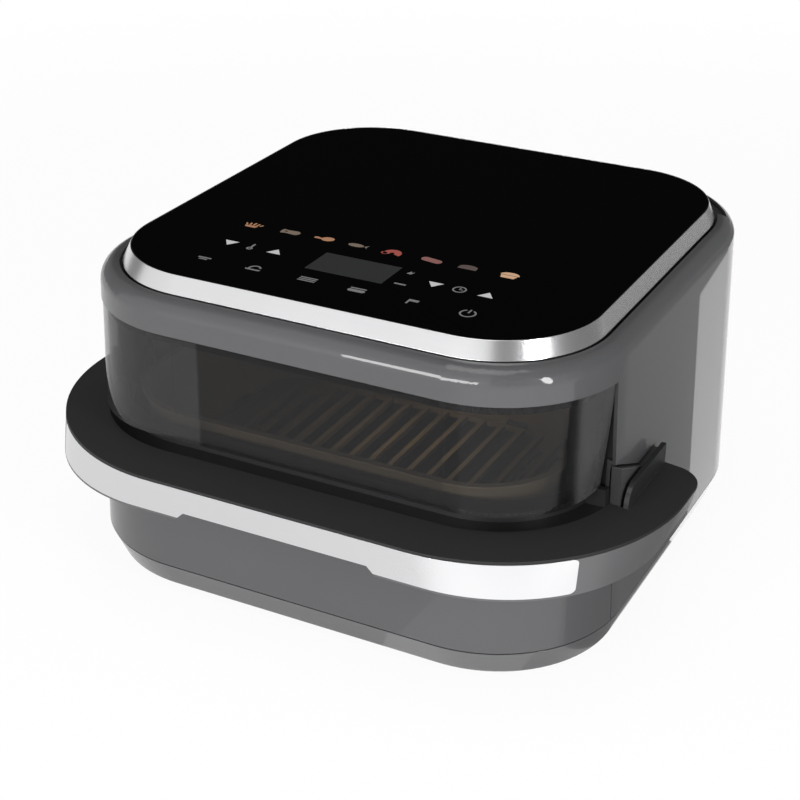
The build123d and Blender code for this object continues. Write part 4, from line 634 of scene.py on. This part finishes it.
@dataclass(frozen=True)
class GreyCard:
    """A grey card round the right and the back that shapes what the metal reflects.

    It runs between two angles counted from the front by the right, and darkens one way.
    """

    radius: float = 5.0
    segments: int = 72
    rings: int = 36
    start: float = 18.0
    end: float = 278.0
    lowest: float = 0.06
    pale: Colour = (0.24, 0.24, 0.24)
    dark: Colour = (0.01, 0.01, 0.01)
    dark_way: Place = (-0.42, 0.787, 0.454)
    dark_from: float = 0.86
    dark_full: float = 0.955

    def hang(self, middle: Vector) -> None:
        """Cut the card out of a ball and colour it.

        Args:
            middle: The middle of the ball.
        """
        bpy.ops.mesh.primitive_uv_sphere_add(
            segments=self.segments, ring_count=self.rings, radius=self.radius, location=middle)
        card = bpy.context.object
        card.name = "grey_card"
        shape = bmesh.new()
        shape.from_mesh(card.data)
        spare = [face for face in shape.faces if not self.holds(face.calc_center_median())]
        bmesh.ops.delete(shape, geom=spare, context="FACES")
        shape.to_mesh(card.data)
        shape.free()
        card.data.materials.append(self.paint())
        mirror_only(card)

    def holds(self, place: Vector) -> bool:
        """Whether a place on the ball is part of the card.

        Args:
            place: The place, from the middle of the ball.

        Returns:
            True if it is.
        """
        turn = degrees(atan2(place.x, -place.y)) % 360
        return self.start < turn < self.end and place.z > self.lowest

    def paint(self) -> bpy.types.Material:
        """Wire the card's glow.

        Returns:
            The material.
        """
        shader = Shader("card_grey")
        turned = shader.node("ShaderNodeVectorMath", {"operation": "NORMALIZE"}, {0: shader.place()})
        ways = {0: turned.outputs[0], 1: self.dark_way}
        toward = shader.node("ShaderNodeVectorMath", {"operation": "DOT_PRODUCT"}, ways)
        dark = Value(shader, toward.outputs["Value"]).step(self.dark_from, self.dark_full)
        grey = shader.blend(dark, self.pale, self.dark)
        glow = shader.node("ShaderNodeEmission", {}, {"Color": grey, "Strength": 1.0})
        shader.feed(shader.output.inputs["Surface"], glow.outputs[0])
        return shader.material


@dataclass(frozen=True)
class FloorCard:
    """A flat glowing card just above the floor; its corners and height are in metres."""

    name: str
    corners: tuple[Point, ...]
    height: float
    strength: float

    def lay(self) -> None:
        """Make the card and hide it from everything but reflections."""
        mesh = bpy.data.meshes.new(self.name)
        corners = [(x, y, self.height) for x, y in self.corners]
        mesh.from_pydata(corners, [], [list(range(len(corners)))])
        card = bpy.data.objects.new(self.name, mesh)
        bpy.context.scene.collection.objects.link(card)
        shader = Shader(self.name)
        light = {"Color": (1, 1, 1, 1), "Strength": self.strength}
        glow = shader.node("ShaderNodeEmission", {}, light)
        shader.feed(shader.output.inputs["Surface"], glow.outputs[0])
        mesh.materials.append(shader.material)
        mirror_only(card)


LOW_BOX = SoftBox("low_box", -5.5, 11, 1.47, 0.56, 42.0)
TALL_STRIP = SoftBox("tall_strip", 64, 17, 0.26, 1.30, 26.0)
TOP_BOX = SoftBox("top_box", 0, 82, 1.4, 1.2, 12.0)

GREY_MAT = FloorCard(
    "grey_mat", ((0.19, -0.15), (3.2, -0.15), (3.2, 5.0), (0.19, 5.0)), 0.002, 0.24)
PALE_STRIP = FloorCard(
    "pale_strip",
    ((0.1975, 0.045), (0.344, 0.524), (0.357, 0.677), (0.30, 0.85), (-0.20, 0.90), (-0.20, 0.18)),
    0.004, 1.6)
WHITE_MAT = FloorCard(
    "white_mat", ((0.06, -0.75), (0.75, -0.75), (0.75, -0.16), (0.06, -0.16)), 0.003, 1.45)


@dataclass
class Studio:
    """Camera, lamps, floor, cards and world, placed for the photograph's view."""

    eye: Vector = field(default_factory=lambda: Vector((0.50127, -1.01092, 0.67632)))
    right: Vector = field(default_factory=lambda: Vector((0.8891, 0.4577, 0.0046)))
    up: Vector = field(default_factory=lambda: Vector((-0.2119, 0.4026, 0.8905)))
    back: Vector = field(default_factory=lambda: Vector((0.4057, -0.7927, 0.4550)))
    middle: Vector = field(default_factory=lambda: Vector((0.0, -0.05, 0.15)))
    lens: float = 76.66
    sensor: float = 36.0
    nearest: float = 0.01
    floor_size: float = 30.0
    floor_near: float = 0.93
    fade_from: float = 0.3
    fade_to: float = 3.0
    ambient: float = 0.42

    def camera(self) -> None:
        """Put the camera where the photograph was taken from."""
        data = bpy.data.cameras.new("camera")
        data.lens = self.lens
        data.sensor_width = self.sensor
        data.sensor_height = self.sensor
        data.clip_start = self.nearest
        seen = bpy.data.objects.new("camera", data)
        turn = Matrix((self.right, self.up, self.back)).transposed().to_4x4()
        seen.matrix_world = Matrix.Translation(self.eye) @ turn
        bpy.context.scene.collection.objects.link(seen)
        bpy.context.scene.camera = seen

    def lamps(self) -> None:
        """A low wide box in front, a tall strip to the right, a box overhead and the cavity's spot."""
        for box in (LOW_BOX, TALL_STRIP, TOP_BOX):
            box.hang(self.middle)
        CavitySpot().hang()

    def cards(self) -> None:
        """The grey card round the back, then the three cards on the floor."""
        GreyCard().hang(self.middle)
        for card in (GREY_MAT, PALE_STRIP, WHITE_MAT):
            card.lay()

    def floor(self) -> None:
        """A wide floor that keeps the object's shadow and fades to plain white far away.

        The two ends of the fade are squared distances from the middle, in square metres.
        """
        bpy.ops.mesh.primitive_plane_add(size=self.floor_size, location=(0, 0, 0))
        ground = bpy.context.object
        ground.name = "floor"
        shader = Shader("floor_white")
        path = shader.node("ShaderNodeLightPath", {}, {})
        seen = Value(shader, path.outputs["Is Camera Ray"])
        seen = seen.at_least(Value(shader, path.outputs["Is Glossy Ray"]))
        seen = seen.at_least(Value(shader, path.outputs["Is Transmission Ray"]))
        shader.set(Base_Color=(0.92, 0.92, 0.92, 1.0), Roughness=0.9, Specular_IOR_Level=0.0)
        white = shader.node("ShaderNodeEmission", {}, {"Color": (1, 1, 1, 1), "Strength": 1.0})
        east, north = shader.axis(0), shader.axis(1)
        far = (east * east + north * north).step(self.fade_from, self.fade_to)
        share = seen * (far * (1.0 - self.floor_near) + self.floor_near)
        sides = {0: share, 1: shader.surface.outputs[0], 2: white.outputs[0]}
        both = shader.node("ShaderNodeMixShader", {}, sides)
        shader.feed(shader.output.inputs["Surface"], both.outputs[0])
        ground.data.materials.append(shader.material)

    def world(self) -> None:
        """An even pale room, dimmer where it lights matt surfaces than where it is seen."""
        world = bpy.data.worlds.new("room")
        world.use_nodes = True
        tree = world.node_tree
        path = tree.nodes.new("ShaderNodeLightPath")
        strength = tree.nodes.new("ShaderNodeMapRange")
        ends = {"From Min": 1.0, "From Max": 0.0, "To Min": self.ambient, "To Max": 1.0}
        for key, value in ends.items():
            strength.inputs[key].default_value = value
        tree.links.new(path.outputs["Is Diffuse Ray"], strength.inputs["Value"])
        room = tree.nodes["Background"]
        room.inputs["Color"].default_value = (1.0, 1.0, 1.0, 1.0)
        tree.links.new(strength.outputs["Result"], room.inputs["Strength"])
        bpy.context.scene.world = world

    def build(self) -> None:
        """Set the whole studio up."""
        self.camera()
        self.lamps()
        self.floor()
        self.cards()
        self.world()
        bpy.context.scene.view_settings.view_transform = "Standard"


@dataclass(frozen=True)
class Sign:
    """One printed sign: where it is, its outlines round its own middle, and its finish."""

    name: str
    place: Point
    loops: list[Loop]
    finish: str


def around(steps: int) -> list[float]:
    """Angles evenly round a circle.

    Args:
        steps: How many.

    Returns:
        The angles in radians.
    """
    return [2 * pi * i / steps for i in range(steps)]


def bar(left: float, top: float, right: float, bottom: float) -> Loop:
    """An upright rectangle.

    Args:
        left: Its left side.
        top: Its top.
        right: Its right side.
        bottom: Its foot.

    Returns:
        Its outline.
    """
    return [(left, top), (right, top), (right, bottom), (left, bottom)]


def oval(x: float, y: float, wide: float, high: float, turn: float = 0.0, steps: int = 24) -> Loop:
    """An ellipse.

    Args:
        x: Its middle.
        y: Its middle.
        wide: Its half width.
        high: Its half height.
        turn: How far it is turned, in degrees.
        steps: How many corners it has.

    Returns:
        Its outline.
    """
    c, s = cos(radians(turn)), sin(radians(turn))
    ring = [(wide * cos(a), high * sin(a)) for a in around(steps)]
    return [(x + u * c - v * s, y + u * s + v * c) for u, v in ring]


def arc(x: float, y: float, wide: float, high: float, start: float, end: float, steps: int = 16) -> Loop:
    """Part of an ellipse.

    Args:
        x: Its middle.
        y: Its middle.
        wide: Its half width.
        high: Its half height.
        start: Where it starts, in degrees.
        end: Where it ends.
        steps: How many runs it has.

    Returns:
        Its points in order.
    """
    angles = [radians(start + (end - start) * i / steps) for i in range(steps + 1)]
    return [(x + wide * cos(a), y + high * sin(a)) for a in angles]


def arc_band(x: float, y: float, outer: float, inner: float, start: float, end: float) -> Loop:
    """A bent bar between two radii, which stops just short of a full turn.

    Args:
        x: The middle of the bend.
        y: The middle of the bend.
        outer: Its outer radius.
        inner: Its inner radius.
        start: Where it starts, in degrees.
        end: Where it ends.

    Returns:
        Its outline.
    """
    steps, gap = 28, 0.5
    reach = end - gap if end - start >= 360 else end
    rim = arc(x, y, outer, outer, start, reach, steps)
    return rim + arc(x, y, inner, inner, reach, start, steps)


def capsule(x0: float, y0: float, x1: float, y1: float, radius: float, steps: int = 10) -> Loop:
    """A bar with round ends.

    Args:
        x0: Its first end.
        y0: Its first end.
        x1: Its second end.
        y1: Its second end.
        radius: Half its width.
        steps: How many runs each end has.

    Returns:
        Its outline.
    """
    way = degrees(atan2(y1 - y0, x1 - x0))
    second = arc(x1, y1, radius, radius, way - 90, way + 90, steps)
    return second + arc(x0, y0, radius, radius, way + 90, way + 270, steps)


def wedge(x: float, y: float, wide: float, high: float, lean: float) -> Loop:
    """A leaning bar.

    Args:
        x: The left end of its foot.
        y: The height of its foot.
        wide: Its width.
        high: Its height.
        lean: How far its top is moved to the right.

    Returns:
        Its outline.
    """
    return [(x, y), (x + wide, y), (x + wide + lean, y + high), (x + lean, y + high)]


@dataclass
class TouchPanel:
    """The black touch glass with its printed signs and display; measures are in millimetres."""

    top: float = 240.2
    film: float = 0.1
    display_middle: float = -2.5
    shading: float = 25.0
    food_row: float = -58.0
    setting_row: float = -94.0
    mode_row: float = -125.5
    kept_off: tuple[str, ...] = (LOW_BOX.name, TALL_STRIP.name)

    def outline(self, name: str, loops: list[Loop], finish: str, kit: Kit) -> bpy.types.Object:
        """Cut one flat sign out of printed film.

        Args:
            name: The sign's name.
            loops: Closed outlines in millimetres; an inner one is a hole.
            finish: The film's finish.
            kit: The finishes.

        Returns:
            The sign.
        """
        curve = bpy.data.curves.new(name, "CURVE")
        curve.dimensions = "2D"
        curve.fill_mode = "BOTH"
        curve.extrude = self.film * MM / 2
        for loop in loops:
            spline = curve.splines.new("POLY")
            spline.points.add(len(loop) - 1)
            for point, (x, y) in zip(spline.points, loop):
                point.co = (x * MM, y * MM, 0, 1)
            spline.use_cyclic_u = True
        sign = bpy.data.objects.new(name, curve)
        bpy.context.scene.collection.objects.link(sign)
        only(sign)
        bpy.ops.object.convert(target="MESH")
        sign = bpy.context.object
        sign.location = (0, 0, (self.top - self.film / 2) * MM)
        bpy.ops.object.transform_apply(location=True, rotation=False, scale=False)
        kit.dress(sign, finish)
        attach(sign, "housing")
        return sign

    def glass(self, kit: Kit) -> bpy.types.Object:
        """The glass itself, a film's thickness lower, with a ground edge.

        Args:
            kit: The finishes.

        Returns:
            The glass.
        """
        pane = clean_copy("control_glass", "touch_glass_pane")
        bpy.ops.object.mode_set(mode="EDIT")
        bpy.ops.mesh.select_all(action="SELECT")
        bpy.ops.transform.translate(value=(0, 0, -self.film * MM))
        bpy.ops.object.mode_set(mode="OBJECT")
        even_shading(pane, self.shading)
        kit.dress(pane, "black_glass")
        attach(pane, "housing")
        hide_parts("control_glass")
        return pane

    def food_signs(self) -> list[Sign]:
        """Eight small food pictures along the back row.

        Returns:
            The signs, each with its outlines round its own middle.
        """
        chips = []
        for i in range(5):
            side = i - 2
            chips.append(wedge(-5.2 + 2.6 * i, -1.0, 1.5, 4.6 - abs(side) * 0.9, 2.0 * side * 0.35))
        cup = [(-5.2, -1.6), (5.2, -1.6), (3.9, -4.6), (-3.9, -4.6)]
        steak = [(7.4 * cos(a) + 1.2 * cos(2 * a), 3.7 * sin(a) + 1.0 * sin(3 * a)) for a in around(28)]
        eye = oval(-2.6, 0.4, 1.5, 0.9)
        leg = oval(2.6, 0.6, 4.8, 3.5, 10)
        bone = [(-2.4, 0.9), (-6.2, 1.9), (-7.6, 1.2), (-7.9, -0.2), (-6.9, -1.0), (-2.0, -1.2)]
        fish = oval(-1.2, 0.0, 6.0, 2.7)
        tail = [(5.2, 0.0), (8.0, 2.7), (7.2, 0.0), (8.0, -2.7)]
        prawn = arc_band(0.0, -1.6, 6.6, 1.6, -25, 215)
        feelers = oval(-5.6, -2.6, 2.3, 1.9)
        ham = capsule(-4.8, 0.8, 4.8, -0.8, 3.1)
        crust = arc(0.0, 0.2, 6.6, 3.6, 180, 0)
        bread = [(-6.6, -3.1), (-6.6, 0.4)] + crust + [(6.6, 0.4), (6.6, -3.1)]
        cake = [(-4.6, -4.2), (-6.0, 0.2), (6.0, 0.2), (4.6, -4.2)]
        dome = [(-6.8, 0.9)] + arc(0.0, 0.9, 6.8, 4.2, 180, 0) + [(6.8, 0.9)]
        drawn = [
            (-103.2, "orange", chips + [cup]),
            (-73.8, "tan", [steak, eye]),
            (-45.8, "orange", [leg, bone]),
            (-19.5, "tan", [fish, tail]),
            (7.8, "red", [prawn, feelers]),
            (36.9, "rose", [ham]),
            (64.1, "brown", [bread]),
            (93.8, "cream", [cake, dome]),
        ]
        return [
            Sign("food_%d" % count, (x, self.food_row), loops, "sign_" + tone)
            for count, (x, tone, loops) in enumerate(drawn, start=1)
        ]

    def setting_signs(self) -> list[Sign]:
        """Arrows, thermometer and clock beside the display.

        Returns:
            The signs.
        """
        row = self.setting_row
        down = [(-5.4, 3.3), (5.4, 3.3), (0.0, -4.4)]
        up = [(-5.4, -3.3), (5.4, -3.3), (0.0, 4.4)]
        bulb = arc_band(0.0, -2.6, 2.3, 0.9, 0, 360)
        thermometer = [bulb, capsule(0.0, 0.6, 0.0, 4.6, 0.8), oval(0, -2.6, 0.9, 0.9)]
        hands = [bar(-0.4, 2.7, 0.4, -0.4), bar(0.7, 0.4, 2.5, -0.4)]
        clock = [oval(0, 0, 4.8, 4.8), oval(0, 0, 3.7, 3.7)] + hands
        dash = bar(-4.2, 0.9, 4.2, -0.9)
        spark = [(-2.4, -1.8), (-0.4, 2.6), (0.4, 0.4), (2.4, 1.6), (0.8, -2.4)]
        return [
            Sign("colder", (-99.5, row), [down], "sign_white"),
            Sign("thermometer", (-82.5, row), thermometer, "sign_grey"),
            Sign("warmer", (-63.4, row), [up], "sign_white"),
            Sign("shorter", (56.6, row), [down], "sign_white"),
            Sign("clock", (74.7, row), clock, "sign_grey"),
            Sign("longer", (94.2, row), [up], "sign_white"),
            Sign("preheat", (34.6, -84.1), [spark], "sign_grey"),
            Sign("weight", (36.6, -103.9), [dash], "sign_grey"),
        ]

    def mode_signs(self) -> list[Sign]:
        """The row of modes at the front, and the power sign.

        Returns:
            The signs.
        """
        light = [bar(-5.0, 1.4, 5.0, -0.2), bar(-3.2, -1.2, 3.2, -2.6)]
        tray = [(-6.4, -1.4), (5.6, -1.4), (4.6, -3.2), (-5.4, -3.2)]
        shake = [arc_band(0.0, 0.0, 4.6, 3.2, 20, 200), tray]
        roast = [bar(-6.4, 3.4 - 2.4 * i, 6.4, 2.1 - 2.4 * i) for i in range(3)]
        grill = [bar(-5.8, 3.2, 5.8, 1.8), capsule(-4.4, -1.2, 4.4, -1.2, 1.9)]
        keep_warm = [(-3.6, 3.2), (3.6, 3.2), (3.6, 0.2), (-2.2, 0.2), (-2.2, -3.8), (-3.6, -3.8)]
        power = [arc_band(0.0, 0.0, 5.6, 4.4, 118, 422), bar(-0.6, 5.9, 0.6, 0.6)]
        drawn = [
            ("light", -100.0, light),
            ("shake", -60.6, shake),
            ("roast", -20.3, roast),
            ("grill", 16.6, grill),
            ("keep_warm", 56.6, [keep_warm]),
            ("power", 95.4, power),
        ]
        return [Sign(name, (x, self.mode_row), loops, "sign_grey") for name, x, loops in drawn]

    def build(self, kit: Kit) -> None:
        """Make the glass, then print it.

        Args:
            kit: The finishes.
        """
        printed = [self.glass(kit)]
        window = bar(-29.5, 15.2, 28.0, -15.2)
        signs = [Sign("display", (self.display_middle, self.setting_row), [window], "display_face")]
        signs += self.food_signs() + self.setting_signs() + self.mode_signs()
        for sign in signs:
            loops = [[(x + sign.place[0], y + sign.place[1]) for x, y in loop] for loop in sign.loops]
            printed.append(self.outline("sign_" + sign.name, loops, sign.finish, kit))
        unlit_by(printed, self.kept_off)
        log.info("touch panel: %d signs", len(signs))


class SubAssembly:
    """Pieces that belong together: some keep their CAD mesh, others get softer edges."""

    plain: dict[str, str] = {}

    def softened(self) -> list[Softened]:
        """The pieces with softer edges.

        Returns:
            The pieces in the order they are made.
        """
        return []

    def dress(self, kit: Kit) -> None:
        """Give the pieces that keep their CAD mesh their finishes.

        Args:
            kit: The finishes.
        """
        for node, finish in self.plain.items():
            kit.dress(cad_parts[node], finish)

    def build(self, kit: Kit) -> None:
        """Dress the plain pieces, then make the softened ones.

        Args:
            kit: The finishes.
        """
        self.dress(kit)
        pieces = self.softened()
        for piece in pieces:
            piece.make(kit)
        log.info("%s: %d plain, %d softened", type(self).__name__, len(self.plain), len(pieces))


@dataclass
class Housing(SubAssembly):
    """The fixed body with its base, ring and back, and what is inside it.

    The edges and the split where the drawer's window ends are in millimetres.
    """

    shell_edge: float = 0.5
    base_edge: float = 0.6
    panel_edge: float = 0.5
    ring_edge: float = 0.5
    split_front: float = -108.0
    split_back: float = -104.0

    plain = {
        "rubber_feet": "foot_rubber",
        "base_screws": "dark_screw",
        "panel_carrier": "moulded_black",
        "touch_board": "board_mask",
        "key_pads": "grey_silicone",
        "display_module": "display_face",
        "rear_top_vent": "moulded_black",
        "front_soffit": "frame_black",
        "cavity_frame": "frame_black",
        "cavity_liner": "sheet_steel",
        "fan_baffle": "sheet_steel",
        "ring_heater": "heater_tube",
        "grill_heater": "heater_tube",
        "heater_guard": "screw_metal",
        "insulation_top": "mineral_fibre",
        "insulation_back": "mineral_fibre",
        "drawer_rail_right": "sheet_steel",
        "drawer_rail_left": "sheet_steel",
        "motor_bracket": "sheet_steel",
        "fan_motor": "motor_can",
        "motor_screws": "screw_metal",
        "cooling_shroud": "moulded_black",
        "power_board": "board_mask",
        "wiring_loom": "foot_rubber",
        "thermal_cutout": "moulded_black",
        "temperature_probe": "screw_metal",
        "lamp_lens": "lamp_glass",
        "lamp_housing": "sheet_steel",
        "lamp_bulb": "lamp_glow",
        "interlock_switch": "moulded_black",
        "rear_panel_screws": "dark_screw",
        "cord_gland": "foot_rubber",
    }

    def softened(self) -> list[Softened]:
        """The outer pieces of the body; the shell's split faces carry painted shade in black.

        Returns:
            The pieces in the order they are made.
        """
        low, high = (-BEYOND, self.split_front, 0), (BEYOND, self.split_back, BEYOND)
        # painted shade: the shell's front-facing faces in the split with the drawer are black
        split = Accent("groove_black_and_painted_gap_shade", low, high, FRONT)
        return [
            Softened("outer_shell", self.shell_edge, "shell_paint", "housing", "body_grey", split),
            Softened("base", self.base_edge, "shell_paint", "housing", "body_grey"),
            Softened("rear_panel", self.panel_edge, "moulded_black", "housing", "dark_trim"),
            Softened("panel_ring", self.ring_edge, "satin_ring", "housing", "ring_silver"),
        ]


@dataclass
class Mechanism(SubAssembly):
    """The fan's rotor and the sprung plunger of the interlock, inside the housing."""

    plain = {
        "fan_shaft": "motor_can",
        "convection_fan": "fan_metal",
        "cooling_fan": "moulded_black",
        "interlock_plunger": "screw_metal",
    }


@dataclass
class Drawer(SubAssembly):
    """The pull-out front with its window, handle and basket; its edges are in millimetres."""

    panel_edge: float = 0.6
    band_edge: float = 1.0
    cover_edge: float = 0.8
    plate_edge: float = 0.3
    arm_edge: float = 0.8
    basket_edge: float = 0.4
    lip_bottom: float = 118.0
    lip_top: float = 130.0

    plain = {
        "front_window": "tinted_window",
        "window_frame": "frame_black",
        "inner_pane": "inner_glass",
        "finger_channel": "groove_black_and_painted_gap_shade",
        "drawer_bulkhead": "frame_black",
        "drawer_seal": "grey_silicone",
        "basket_brackets": "sheet_steel",
        "runner_right": "sheet_steel",
        "runner_left": "sheet_steel",
        "handle_screws": "screw_metal",
    }

    def softened(self) -> list[Softened]:
        """The outer pieces of the drawer and its basket.

        The cover's upper faces carry a paler painted highlight, and the arms' front faces a darker painted
        shade.

        Returns:
            The pieces in the order they are made.
        """
        low, high = (-BEYOND, -BEYOND, self.lip_bottom), (BEYOND, BEYOND, self.lip_top)
        # painted highlight: the cover's upward faces between lip_bottom and lip_top are paler
        lip_highlight = Accent("lip_painted_highlight", low, high, UP)
        # painted shade: the arms' front-facing faces are darker than the rest of the arm
        shade = Accent("arm_shade", (-BEYOND, -BEYOND, 0), (BEYOND, BEYOND, BEYOND), FRONT)
        return [
            Softened("lower_front_panel", self.panel_edge, "shell_paint", "drawer", "body_grey"),
            Softened("handle_band", self.band_edge, "band_paint", "drawer", "band_grey"),
            Softened("handle_top_cover", self.cover_edge, "dark_grip", "drawer", "dark_trim", lip_highlight),
            Softened("handle_plate", self.plate_edge, "brushed_plate", "drawer", "silver_plate"),
            Softened("drawer_arm_right", self.arm_edge, "arm_paint", "drawer", "band_grey", shade),
            Softened("drawer_arm_left", self.arm_edge, "arm_paint", "drawer", "band_grey", shade),
            Softened("basket", self.basket_edge, "ceramic_coat", "drawer", "ceramic_tan"),
        ]


@dataclass
class LiftOutPlate(SubAssembly):
    """The ribbed grill plate on its bumpers; its edge is in millimetres."""

    rib_edge: float = 0.8

    plain = {"plate_bumpers": "grey_silicone"}

    def softened(self) -> list[Softened]:
        """The plate itself.

        Returns:
            The plate.
        """
        return [Softened("grill_plate", self.rib_edge, "cast_coat", "lift_out_plate", "ceramic_tan")]


def main() -> None:
    """Build the studio and dress the appliance body by body."""
    logging.basicConfig(level=logging.INFO, format="%(message)s")
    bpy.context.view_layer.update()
    Studio().build()
    kit = Kit()
    for part in (Housing(), Mechanism(), Drawer(), LiftOutPlate(), TouchPanel()):
        part.build(kit)


if __name__ == "__main__":
    main()
